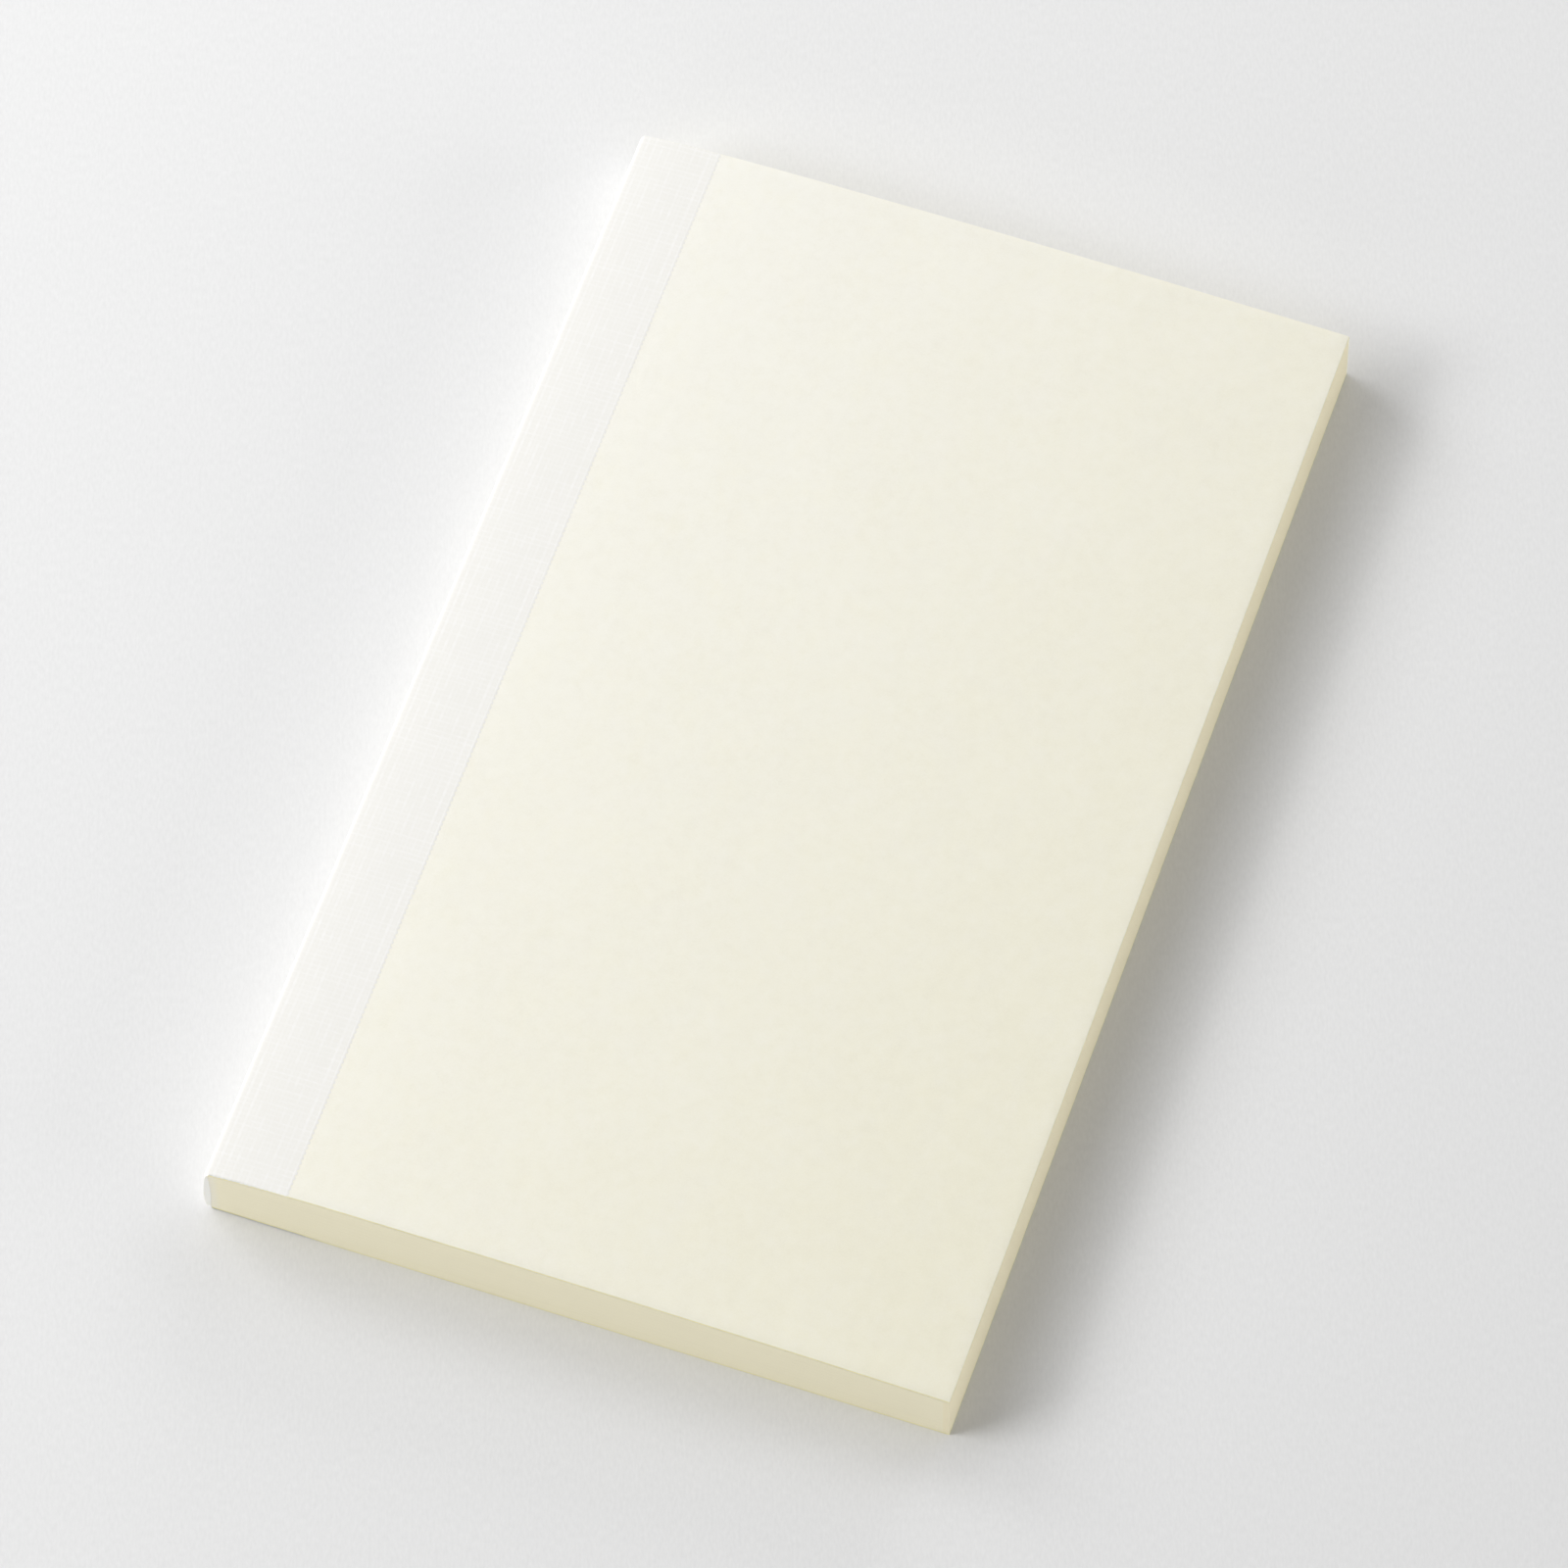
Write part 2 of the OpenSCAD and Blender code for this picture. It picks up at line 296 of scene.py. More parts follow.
class Bench:
    """Blender's modelling tools, used as at the bench."""

    @staticmethod
    def pick(*pieces: bpy.types.Object) -> None:
        """Selects these pieces alone.

        Args:
            pieces: The pieces, of which the first becomes the active one.
        """
        if bpy.context.object is not None and bpy.context.object.mode != "OBJECT":
            bpy.ops.object.mode_set(mode="OBJECT")
        bpy.ops.object.select_all(action="DESELECT")
        for piece in pieces:
            piece.select_set(True)
        if pieces:
            bpy.context.view_layer.objects.active = pieces[0]

    @classmethod
    @contextmanager
    def editing(cls, piece: bpy.types.Object) -> Iterator[bmesh.types.BMesh]:
        """Opens a piece in edit mode and closes it again.

        Args:
            piece: The piece.

        Yields:
            The open mesh, for choosing what the next tool works on.
        """
        cls.pick(piece)
        bpy.ops.object.mode_set(mode="EDIT")
        bpy.ops.mesh.select_mode(type="FACE")
        yield bmesh.from_edit_mesh(piece.data)
        bpy.ops.object.mode_set(mode="OBJECT")

    @classmethod
    def finish(cls, piece: bpy.types.Object, kind: str, **settings: Any) -> None:
        """Adds a modifier and applies it.

        Args:
            piece: The piece.
            kind: The modifier's type.
            settings: The modifier's settings.
        """
        cls.pick(piece)
        modifier = piece.modifiers.new(kind.lower(), kind)
        for name, value in settings.items():
            setattr(modifier, name, value)
        bpy.ops.object.modifier_apply(modifier=modifier.name)

    @classmethod
    def soften(cls, piece: bpy.types.Object, degrees: float) -> None:
        """Shades a piece smooth, apart from its sharp edges."""
        cls.pick(piece)
        bpy.ops.object.shade_smooth_by_angle(angle=math.radians(degrees))

    @classmethod
    def sheet(
        cls, name: str, columns: int, rows: int
    ) -> tuple[bpy.types.Object, np.ndarray, np.ndarray]:
        """Adds a flat ruled sheet.

        Args:
            name: The piece's name.
            columns: Cells along X.
            rows: Cells along Y.

        Returns:
            The piece, and the column and the row of each of its vertices.
        """
        cls.pick()
        bpy.ops.mesh.primitive_grid_add(x_subdivisions=columns, y_subdivisions=rows, size=1.0)
        piece = bpy.context.object
        piece.name = name
        piece.data.name = name
        place = cls.vertices(piece)
        across = np.rint((place[:, 0] + 0.5) * columns).astype(int)
        along = np.rint((place[:, 1] + 0.5) * rows).astype(int)
        return piece, across, along

    @staticmethod
    def read(items: bpy.types.bpy_prop_collection, name: str) -> np.ndarray:
        """Reads three numbers for each vertex or face.

        Args:
            items: The vertices or faces of a piece.
            name: What is read.

        Returns:
            One row of three numbers for each.
        """
        flat = np.zeros(len(items) * 3, np.float32)
        items.foreach_get(name, flat)
        return flat.reshape(-1, 3)

    @classmethod
    def vertices(cls, piece: bpy.types.Object) -> np.ndarray:
        """Reads the places of a piece's vertices, in metres."""
        return cls.read(piece.data.vertices, "co").astype(float)

    @staticmethod
    def shape(piece: bpy.types.Object, place: np.ndarray) -> None:
        """Moves the vertices of a piece."""
        piece.data.vertices.foreach_set("co", place.astype(np.float32).ravel())
        piece.data.update()

    @staticmethod
    def note(piece: bpy.types.Object, name: str, values: np.ndarray) -> None:
        """Keeps a number for each vertex, for the finish to read."""
        attribute = piece.data.attributes.new(name, "FLOAT", "POINT")
        attribute.data.foreach_set("value", values.astype(np.float32))

    @staticmethod
    def coat(
        piece: bpy.types.Object,
        materials: Sequence[bpy.types.Material],
        index: np.ndarray | None = None,
    ) -> None:
        """Gives a piece its finishes.

        Args:
            piece: The piece.
            materials: The finishes.
            index: The finish of each face, or None where there is only one.
        """
        piece.data.materials.clear()
        for material in materials:
            piece.data.materials.append(material)
        if index is not None:
            piece.data.polygons.foreach_set("material_index", index.astype(np.int32))
            piece.data.update()

    @classmethod
    def draw_out(cls, piece: bpy.types.Object, way: tuple[float, float, float]) -> None:
        """Draws a sheet out into a closed solid.

        Args:
            piece: The sheet.
            way: The way along X, Y and Z, in millimetres.
        """
        with cls.editing(piece):
            bpy.ops.mesh.select_all(action="SELECT")
            move = {"value": tuple(value * MM for value in way)}
            bpy.ops.mesh.extrude_region_move(TRANSFORM_OT_translate=move)
            bpy.ops.mesh.select_all(action="SELECT")
            bpy.ops.mesh.normals_make_consistent(inside=False)


@dataclass(frozen=True)
class Grain:
    """One layer of cloudy noise, turned about Z by some degrees and then stretched.

    The size of its clouds is in the units of the place that the noise is laid on.
    """

    size: float
    detail: float
    rough: float
    stretch: tuple[float, float, float] | None = None
    turn: float = 0.0


class Wire:
    """One value in a material's tree, which Python's own arithmetic turns into Math nodes."""

    def __init__(self, painter: "Painter", socket: bpy.types.NodeSocket) -> None:
        """Keeps the painter and the socket that gives the value."""
        self.painter = painter
        self.socket = socket

    def math(self, operation: str, *terms: "Wire | float") -> "Wire":
        """Adds one Math node, with what goes into it in order."""
        node = self.painter.node("ShaderNodeMath", {"operation": operation}, dict(enumerate(terms)))
        return self.painter.wire(node)

    def __add__(self, other: "Wire | float") -> "Wire":
        """Adds."""
        return self.math("ADD", self, other)

    def __radd__(self, other: float) -> "Wire":
        """Adds to a plain number."""
        return self.math("ADD", other, self)

    def __sub__(self, other: "Wire | float") -> "Wire":
        """Subtracts."""
        return self.math("SUBTRACT", self, other)

    def __rsub__(self, other: float) -> "Wire":
        """Subtracts from a plain number."""
        return self.math("SUBTRACT", other, self)

    def __mul__(self, other: "Wire | float") -> "Wire":
        """Multiplies."""
        return self.math("MULTIPLY", self, other)

    def __rmul__(self, other: float) -> "Wire":
        """Multiplies a plain number."""
        return self.math("MULTIPLY", other, self)

    def __truediv__(self, other: "Wire | float") -> "Wire":
        """Divides."""
        return self.math("DIVIDE", self, other)

    def __abs__(self) -> "Wire":
        """Drops the sign."""
        return self.math("ABSOLUTE", self)

    def fraction(self) -> "Wire":
        """Keeps what stands behind the point."""
        return self.math("FRACT", self)

    def sine(self) -> "Wire":
        """Takes the sine of an angle in radians."""
        return self.math("SINE", self)

    def lesser(self, other: "Wire | float") -> "Wire":
        """Takes the lesser of two values."""
        return self.math("MINIMUM", self, other)

    def greater(self, other: "Wire | float") -> "Wire":
        """Takes the greater of two values."""
        return self.math("MAXIMUM", self, other)

    def above(self, limit: float) -> "Wire":
        """Gives 1 above a limit, and 0 elsewhere."""
        return self.math("GREATER_THAN", self, limit)

    def held(self) -> "Wire":
        """Holds the value between 0 and 1."""
        return self.greater(0.0).lesser(1.0)

    def excess(self, limit: float = MEAN) -> "Wire":
        """Gives how far the value stands above a limit, and 0 below it."""
        return (self - limit).greater(0.0)

    def lack(self, limit: float = MEAN) -> "Wire":
        """Gives how far the value stands below a limit, and 0 above it."""
        return (limit - self).greater(0.0)

    def ease(self, start: float, end: float) -> "Wire":
        """Eases from 0 at one value to 1 at another, which may be the lower one."""
        inputs = {"Value": self, "From Min": start, "From Max": end}
        smooth = {"interpolation_type": "SMOOTHSTEP"}
        return self.painter.wire(self.painter.node("ShaderNodeMapRange", smooth, inputs))


class Painter:
    """Lays the nodes of one finish."""

    def __init__(self, name: str) -> None:
        """Starts an empty material.

        Args:
            name: The material's name.
        """
        self.material = bpy.data.materials.new(name)
        self.material.use_nodes = True
        self.tree = self.material.node_tree
        self.tree.nodes.clear()

    def node(
        self,
        kind: str,
        settings: dict[str, Any] | None = None,
        inputs: dict[str | int, Any] | None = None,
    ) -> bpy.types.Node:
        """Adds a node of any type.

        Args:
            kind: The node's type.
            settings: Its settings, which are set first.
            inputs: The values or links of its sockets, by name or number.

        Returns:
            The node.
        """
        node = self.tree.nodes.new(kind)
        for name, value in (settings or {}).items():
            setattr(node, name, value)
        for name, value in (inputs or {}).items():
            socket = node.inputs[name]
            if isinstance(value, Wire):
                self.tree.links.new(value.socket, socket)
            elif isinstance(value, tuple) and socket.type == "RGBA":
                socket.default_value = (*value, 1.0)
            else:
                socket.default_value = value
        return node

    def wire(self, node: bpy.types.Node, output: str | int = 0) -> Wire:
        """Takes an output of a node as a value."""
        return Wire(self, node.outputs[output])

    def place(self) -> Wire:
        """Gives the place on the object, in metres."""
        return self.wire(self.node("ShaderNodeTexCoord"), "Object")

    def axes(self, vector: Wire) -> tuple[Wire, Wire, Wire]:
        """Takes a vector apart into its three numbers."""
        node = self.node("ShaderNodeSeparateXYZ", inputs={0: vector})
        return self.wire(node, 0), self.wire(node, 1), self.wire(node, 2)

    def vector(self, x: Wire, y: Wire) -> Wire:
        """Puts two numbers together into a vector that lies flat."""
        return self.wire(self.node("ShaderNodeCombineXYZ", inputs={0: x, 1: y, 2: 0.0}))

    def attribute(self, name: str) -> Wire:
        """Reads a number that the piece keeps for each vertex."""
        return self.wire(self.node("ShaderNodeAttribute", {"attribute_name": name}), "Fac")

    def noise(self, vector: Wire, grain: Grain) -> Wire:
        """Adds cloudy noise.

        Args:
            vector: The place.
            grain: The layer of noise.

        Returns:
            The noise, about MEAN on average.
        """
        if grain.stretch is not None:
            turn = {0: vector, "Rotation": (0.0, 0.0, math.radians(grain.turn))}
            turned = self.wire(self.node("ShaderNodeMapping", inputs=turn))
            stretched = {0: turned, "Scale": grain.stretch}
            vector = self.wire(self.node("ShaderNodeMapping", inputs=stretched))
        inputs = {
            "Vector": vector,
            "Scale": 1.0 / grain.size,
            "Detail": grain.detail,
            "Roughness": grain.rough,
        }
        return self.wire(self.node("ShaderNodeTexNoise", {"noise_dimensions": "3D"}, inputs), "Fac")

    def plies(self, along: Wire, across: Wire, pitch: Span) -> Wire:
        """Gives the ridges of a twisted thread, from -1 to 1, with the pitch in millimetres."""
        turns = along * PER_METRE / pitch[0] + across * PER_METRE / pitch[1]
        return (turns * math.pi).sine()

    def mix(self, share: Wire | float, first: Wire | Colour, second: Wire | Colour) -> Wire:
        """Mixes two colours by the second one's share."""
        node = self.node("ShaderNodeMix", {"data_type": "RGBA"}, {0: share, 6: first, 7: second})
        return self.wire(node, 2)

    def bump(self, height: Wire, depth: float, below: Wire | None = None) -> Wire:
        """Raises the surface.

        Args:
            height: The height as a share of the depth.
            depth: The depth, in millimetres.
            below: A coarser normal that this one builds on.

        Returns:
            The normal.
        """
        inputs = {"Height": height, "Distance": depth * MM, "Strength": 1.0}
        if below is not None:
            inputs["Normal"] = below
        return self.wire(self.node("ShaderNodeBump", inputs=inputs))

    def surface(
        self,
        colour: Wire,
        roughness: Wire | float,
        specular: float,
        normal: Wire,
        more: dict[str, float] | None = None,
    ) -> bpy.types.Material:
        """Ends the material in one shader.

        Args:
            colour: The base colour.
            roughness: The roughness.
            specular: The level of the reflection.
            normal: The normal.
            more: Other values of the shader.

        Returns:
            The material.
        """
        sockets = {
            "Base Color": colour,
            "Roughness": roughness,
            "Specular IOR Level": specular,
            "Normal": normal,
            **(more or {}),
        }
        shader = self.node("ShaderNodeBsdfPrincipled", inputs=sockets)
        self.node("ShaderNodeOutputMaterial", inputs={"Surface": self.wire(shader)})
        return self.material


@dataclass(frozen=True)
class CoverPaper:
    """Uncoated cream cover paper: a fine tooth, a cloudy sheet, stray fibres and a few specks.

    Grains and places are in metres, and depths in millimetres.
    """

    # Painted light and shade: lighter at the spine, darker and yellower at the fore edge and the
    # tail, following how the light falls.
    painted_lit_spine_side: Colour = (0.812, 0.799, 0.736)
    painted_shaded_fore_side: Colour = (0.794, 0.766, 0.622)
    aged: Colour = (0.800, 0.765, 0.590)
    washed: Colour = (0.812, 0.798, 0.760)
    dark: Colour = (0.55, 0.5, 0.36)
    light: Colour = (0.95, 0.95, 0.93)
    fibre: Colour = (0.90, 0.89, 0.83)
    speck: Colour = (0.52, 0.44, 0.27)
    shade_slope_x: float = 7.0
    shade_slope_y: float = 2.2
    cloud: Grain = Grain(0.016, 3.0, 0.55)
    crinkle: Grain = Grain(0.0024, 2.0, 0.45, (1.0, 0.55, 1.0), 14.0)
    ripple: Grain = Grain(0.0034, 1.0, 0.4, (1.0, 0.22, 1.0))
    ripple_y: Span = (0.066, 0.0865)
    mottle: Grain = Grain(0.0018, 3.0, 0.65)
    tint: Grain = Grain(0.0042, 4.0, 0.68, (1.0, 0.8, 1.0))
    tooth: Grain = Grain(0.00024, 2.0, 0.6)
    hair: Grain = Grain(0.0011, 1.0, 0.4, (1.0, 9.0, 1.0))
    hair_turns: tuple[float, ...] = (12.0, 71.0, 128.0)
    hair_width: Span = (0.022, 0.004)
    tint_share: float = 0.62
    cloud_share: float = 0.10
    mottle_share: float = 0.24
    tooth_share: float = 0.20
    fibre_share: float = 0.05
    speck_share: float = 0.7
    crinkle_depth: float = 0.066
    ripple_depth: float = 0.034
    mottle_depth: float = 0.022
    tooth_depth: float = 0.008
    fibre_depth: float = 0.005
    speck_cell: float = 0.012
    speck_rarity: float = 0.86
    speck_size: Span = (0.018, 0.009)
    roughness: float = 0.78
    rough_spread: float = 0.12
    specular: float = 0.32

    def make(self) -> bpy.types.Material:
        """Makes the finish.

        Returns:
            The material.
        """
        painter = Painter("cover_paper_face")
        place = painter.place()
        x, y, _ = painter.axes(place)
        # Painted light and shade across the cover: lighter towards the spine, darker towards the
        # fore edge and the tail.
        painted_shade_share = (x * self.shade_slope_x - y * self.shade_slope_y + MEAN).held()
        colour = painter.mix(painted_shade_share, self.painted_lit_spine_side, self.painted_shaded_fore_side)
        cloud = painter.noise(place, self.cloud)
        crinkle = painter.noise(place, self.crinkle)
        ripple = painter.noise(place, self.ripple) * abs(y).ease(*self.ripple_y)
        mottle = painter.noise(place, self.mottle)
        tint = painter.noise(place, self.tint)
        tooth = painter.noise(place, self.tooth)
        fibres = self.fibres(painter, place)
        colour = painter.mix(tint.excess() * self.tint_share, colour, self.aged)
        colour = painter.mix(tint.lack() * self.tint_share, colour, self.washed)
        shade = (cloud - MEAN) * self.cloud_share + (mottle - MEAN) * self.mottle_share
        shade = (shade + (tooth - MEAN) * self.tooth_share + MEAN).lesser(1.0)
        colour = painter.mix(shade.lack(), colour, self.dark)
        colour = painter.mix(shade.excess(), colour, self.light)
        colour = painter.mix(fibres * self.fibre_share, colour, self.fibre)
        specks = self.specks(painter, place)
        colour = painter.mix(specks * self.speck_share, colour, self.speck)
        coarse = crinkle * self.crinkle_depth + ripple * self.ripple_depth
        relief = painter.bump(coarse + mottle * self.mottle_depth, 1.0)
        fine = tooth * self.tooth_depth + fibres * self.fibre_depth
        relief = painter.bump(fine, 1.0, relief)
        roughness = self.roughness + (tooth - MEAN) * self.rough_spread
        return painter.surface(colour, roughness, self.specular, relief)

    def fibres(self, painter: Painter, place: Wire) -> Wire:
        """Lays short paper fibres in several directions.

        Args:
            painter: The material that they lie in.
            place: The place on the object.

        Returns:
            1 on a fibre and 0 beside it.
        """
        total: Wire | None = None
        for turn in self.hair_turns:
            laid = painter.noise(place, replace(self.hair, turn=turn))
            ridge = abs(laid - MEAN).ease(*self.hair_width)
            total = ridge if total is None else total.greater(ridge)
        return total

    def specks(self, painter: Painter, place: Wire) -> Wire:
        """Scatters a few dark specks, one in a square of several centimetres.

        Args:
            painter: The material that they lie in.
            place: The place on the object.

        Returns:
            1 in a speck and 0 beside it.
        """
        inputs = {"Vector": place, "Scale": 1.0 / self.speck_cell}
        cells = painter.node("ShaderNodeTexVoronoi", {"feature": "F1"}, inputs)
        chosen = painter.axes(painter.wire(cells, "Color"))[0].above(self.speck_rarity)
        return painter.wire(cells, "Distance").ease(*self.speck_size) * chosen


@dataclass(frozen=True)
class CutEdge:
    """The cut edge of a cover sheet: its deep ochre is partly the warm core of the board and partly
    painted shade and yellow bounce light from the thin gap under the cover.
    """

    # Partly the board's own warm core, partly painted shade and yellow bounce light from the gap
    # under the cover.
    core_and_gap_shade: Colour = (0.920, 0.845, 0.440)
    burr: Colour = (0.935, 0.875, 0.560)
    torn: Grain = Grain(0.0004, 3.0, 0.6, (1.0, 1.0, 6.0))
    burred: Span = (0.45, 0.75)
    depth: float = 0.02
    roughness: float = 0.9
    specular: float = 0.2

    def make(self) -> bpy.types.Material:
        """Makes the finish.

        Returns:
            The material.
        """
        painter = Painter("cover_cut_edge")
        torn = painter.noise(painter.place(), self.torn)
        colour = painter.mix(torn.ease(*self.burred), self.core_and_gap_shade, self.burr)
        relief = painter.bump(torn, self.depth)
        return painter.surface(colour, self.roughness, self.specular, relief)


@dataclass(frozen=True)
class TrimmedPages:
    """The trimmed edges of the leaves: a fine line of painted shade between leaves, a deeper one
    between signatures.

    A row is one leaf, and the lengths of the noise along an edge are in millimetres.
    """

    paper: Colour = (0.948, 0.892, 0.675)
    # Painted shade: a darker, yellower copy of the same paper for the fore edge, which faces away
    # from the light.
    painted_shade_fore_paper: Colour = (0.940, 0.866, 0.632)
    soaked: Colour = (0.905, 0.880, 0.760)
    # Painted shade, darker and yellower, in the narrow gaps between leaves and between signatures.
    gap: Colour = (0.68, 0.60, 0.38)
    bleached: Colour = (0.88, 0.85, 0.72)
    dusty: Colour = (0.70, 0.64, 0.44)
    fore_x: float = 52.0
    soaked_x: float = -50.2
    soaked_run: float = 1.1
    soaked_share: float = 0.6
    streak: Grain = Grain(1.0, 2.0, 0.6)
    streak_run: float = 14.0
    streak_rows: float = 0.9
    broad: Grain = Grain(1.0, 1.0, 0.5)
    broad_run: float = 40.0
    broad_rows: float = 0.11
    grain: Grain = Grain(0.3, 2.0, 0.6)
    grain_rows: float = 0.5
    between: Span = (0.40, 0.49)
    sewn: Span = (3.72, 3.98)
    gap_shade_least: float = 0.10
    between_shade_share: float = 0.32
    sewn_shade_share: float = 0.25
    bleached_share: float = 0.30
    dusty_share: float = 0.18
    between_drop: float = 0.8
    sewn_drop: float = 0.6
    streak_rise: float = 0.5
    depth: float = 0.012
    grain_depth: float = 0.006
    roughness: float = 0.86
    rough_spread: float = 0.1
    specular: float = 0.25

    def make(self) -> bpy.types.Material:
        """Makes the finish.

        Returns:
            The material.
        """
        painter = Painter("trimmed_pages")
        x, y, _ = painter.axes(painter.place())
        row = painter.attribute("leaf_row")
        depth = painter.attribute("fold_depth")
        way = (x + y) * PER_METRE
        streaked = painter.vector(way / self.streak_run, row * self.streak_rows)
        streak = painter.noise(streaked, self.streak)
        broad = painter.noise(
            painter.vector(way / self.broad_run, row * self.broad_rows), self.broad
        )
        grain = painter.noise(painter.vector(way, row * self.grain_rows), self.grain)
        between = abs(depth.fraction() - MEAN).ease(*self.between)
        sewn = depth.ease(*self.sewn)
        # Painted shade: the fore edge takes the darker copy of the paper.
        colour = painter.mix(x.above(self.fore_x * MM), self.paper, self.painted_shade_fore_paper)
        soaked = x.ease(self.soaked_x * MM, (self.soaked_x - self.soaked_run) * MM)
        colour = painter.mix(soaked * self.soaked_share, colour, self.soaked)
        # Painted shade in the gaps between leaves and between signatures.
        for line, share in ((between, self.between_shade_share), (sewn, self.sewn_shade_share)):
            colour = painter.mix(line * (self.gap_shade_least + streak * share), colour, self.gap)
        colour = painter.mix(streak.excess() * self.bleached_share, colour, self.bleached)
        colour = painter.mix(broad.excess() * self.dusty_share, colour, self.dusty)
        height = 1.0 - between * self.between_drop - sewn * self.sewn_drop
        relief = painter.bump(height + streak * self.streak_rise, self.depth)
        relief = painter.bump(grain, self.grain_depth, relief)
        roughness = self.roughness - streak * self.rough_spread
        return painter.surface(colour, roughness, self.specular, relief)


@dataclass(frozen=True)
class RuledPage:
    """A page face with a plain grid ruled in pale grey, its pitch and line in millimetres."""

    paper: Colour = (0.875, 0.858, 0.765)
    bleached: Colour = (0.93, 0.92, 0.85)
    ink: Colour = (0.50, 0.56, 0.60)
    pitch: float = 5.0
    line: float = 0.13
    line_soft: Span = (0.006, 0.004)
    tooth: Grain = Grain(0.00025, 2.0, 0.6)
    cloud: Grain = Grain(0.009, 2.0, 0.5)
    cloud_share: float = 0.25
    ink_least: float = 0.45
    ink_spread: float = 0.25
    depth: float = 0.008
    roughness: float = 0.74
    rough_spread: float = 0.1
    specular: float = 0.3

    def make(self) -> bpy.types.Material:
        """Makes the finish.

        Returns:
            The material.
        """
        painter = Painter("ruled_page")
        place = painter.place()
        x, y, _ = painter.axes(place)
        half = self.line / self.pitch / 2
        outer, inner = half + self.line_soft[0], half - self.line_soft[1]
        ruled: Wire | None = None
        for axis in (x, y):
            across = abs((axis * (PER_METRE / self.pitch) + MEAN).fraction() - MEAN)
            line = across.ease(outer, inner)
            ruled = line if ruled is None else ruled.greater(line)
        tooth = painter.noise(place, self.tooth)
        cloud = painter.noise(place, self.cloud)
        colour = painter.mix(cloud.excess() * self.cloud_share, self.paper, self.bleached)
        inked = ruled * (self.ink_least + tooth * self.ink_spread)
        colour = painter.mix(inked, colour, self.ink)
        roughness = self.roughness + tooth * self.rough_spread
        relief = painter.bump(tooth, self.depth)
        return painter.surface(colour, roughness, self.specular, relief)


@dataclass(frozen=True)
class StarchedGauze:
    """White book gauze, its threads pressed flat and its openings filled with paste."""

    thread: Colour = (0.806, 0.798, 0.780)
    filled: Colour = (0.750, 0.739, 0.702)
    pasted: Colour = (0.81, 0.803, 0.775)
    fluffy: Colour = (0.86, 0.86, 0.85)
    ply_pitch: Span = (0.16, 0.11)
    ply_rise: float = 0.4
    fuzz: Grain = Grain(0.00012, 2.0, 0.7)
    fuzz_share: float = 0.3
    patch: Grain = Grain(0.004, 3.0, 0.6)
    patch_from: float = 0.45
    patch_share: float = 0.5
    depth: float = 0.006
    roughness: float = 0.80
    rough_spread: float = 0.12
    specular: float = 0.35
    sheen: float = 0.06
    sheen_rough: float = 0.5

    def make(self) -> bpy.types.Material:
        """Makes the finish.

        Returns:
            The material.
        """
        painter = Painter("starched_gauze")
        place = painter.place()
        x, y, z = painter.axes(place)
        raised = painter.attribute("thread_height")
        lean = painter.attribute("thread_lean")
        warp_ply = painter.plies(y, x + z, self.ply_pitch)
        weft_ply = painter.plies(x + z, y, self.ply_pitch)
        ply = warp_ply * (1.0 - lean) + weft_ply * lean
        fuzz = painter.noise(place, self.fuzz)
        patch = painter.noise(place, self.patch)
        colour = painter.mix(raised, self.filled, self.thread)
        patched = patch.excess(self.patch_from) * self.patch_share
        colour = painter.mix(patched, colour, self.pasted)
        colour = painter.mix(fuzz.excess() * raised * self.fuzz_share, colour, self.fluffy)
        relief = painter.bump(ply * raised * self.ply_rise + fuzz, self.depth)
        roughness = self.roughness - (1.0 - raised) * self.rough_spread
        sheen = {"Sheen Weight": self.sheen, "Sheen Roughness": self.sheen_rough}
        return painter.surface(colour, roughness, self.specular, relief, sheen)


@dataclass(frozen=True)
class GluedEndPaintedGlow:
    """The cut ends of the gauze, fluffy and soaked in white glue; their near-white colour is partly
    that glue and partly painted glow of light shining through the thin cloth.
    """

    # Partly the whiter glue-soaked cotton, partly painted glow of light shining through the cloth.
    fluff_painted_glow: Colour = (0.985, 0.982, 0.955)
    soaked: Colour = (0.965, 0.960, 0.925)
    tuft: Grain = Grain(0.00022, 3.0, 0.65)
    tufted: Span = (0.35, 0.65)
    depth: float = 0.04
    roughness: float = 0.85
    specular: float = 0.3

    def make(self) -> bpy.types.Material:
        """Makes the finish.

        Returns:
            The material.
        """
        painter = Painter("glued_gauze_end_painted_glow")
        tuft = painter.noise(painter.place(), self.tuft)
        # Both tones carry painted glow of light shining through the cloth.
        colour = painter.mix(tuft.ease(*self.tufted), self.soaked, self.fluff_painted_glow)
        relief = painter.bump(tuft, self.depth)
        return painter.surface(colour, self.roughness, self.specular, relief)


@dataclass(frozen=True)
class DriedGlue:
    """White adhesive that dried in runs between the folds and the gauze."""

    body: Colour = (0.91, 0.905, 0.86)
    thin: Colour = (0.86, 0.845, 0.76)
    runs: Grain = Grain(0.0011, 3.0, 0.6)
    pits: Grain = Grain(0.00025, 2.0, 0.6)
    thinned: Span = (0.55, 0.75)
    run_depth: float = 0.08
    pit_depth: float = 0.02
    roughness: float = 0.42
    rough_spread: float = 0.3
    specular: float = 0.5

    def make(self) -> bpy.types.Material:
        """Makes the finish.

        Returns:
            The material.
        """
        painter = Painter("dried_glue")
        place = painter.place()
        runs = painter.noise(place, self.runs)
        pits = painter.noise(place, self.pits)
        colour = painter.mix(runs.ease(*self.thinned), self.body, self.thin)
        relief = painter.bump(pits, self.pit_depth, painter.bump(runs, self.run_depth))
        roughness = self.roughness + pits * self.rough_spread
        return painter.surface(colour, roughness, self.specular, relief)


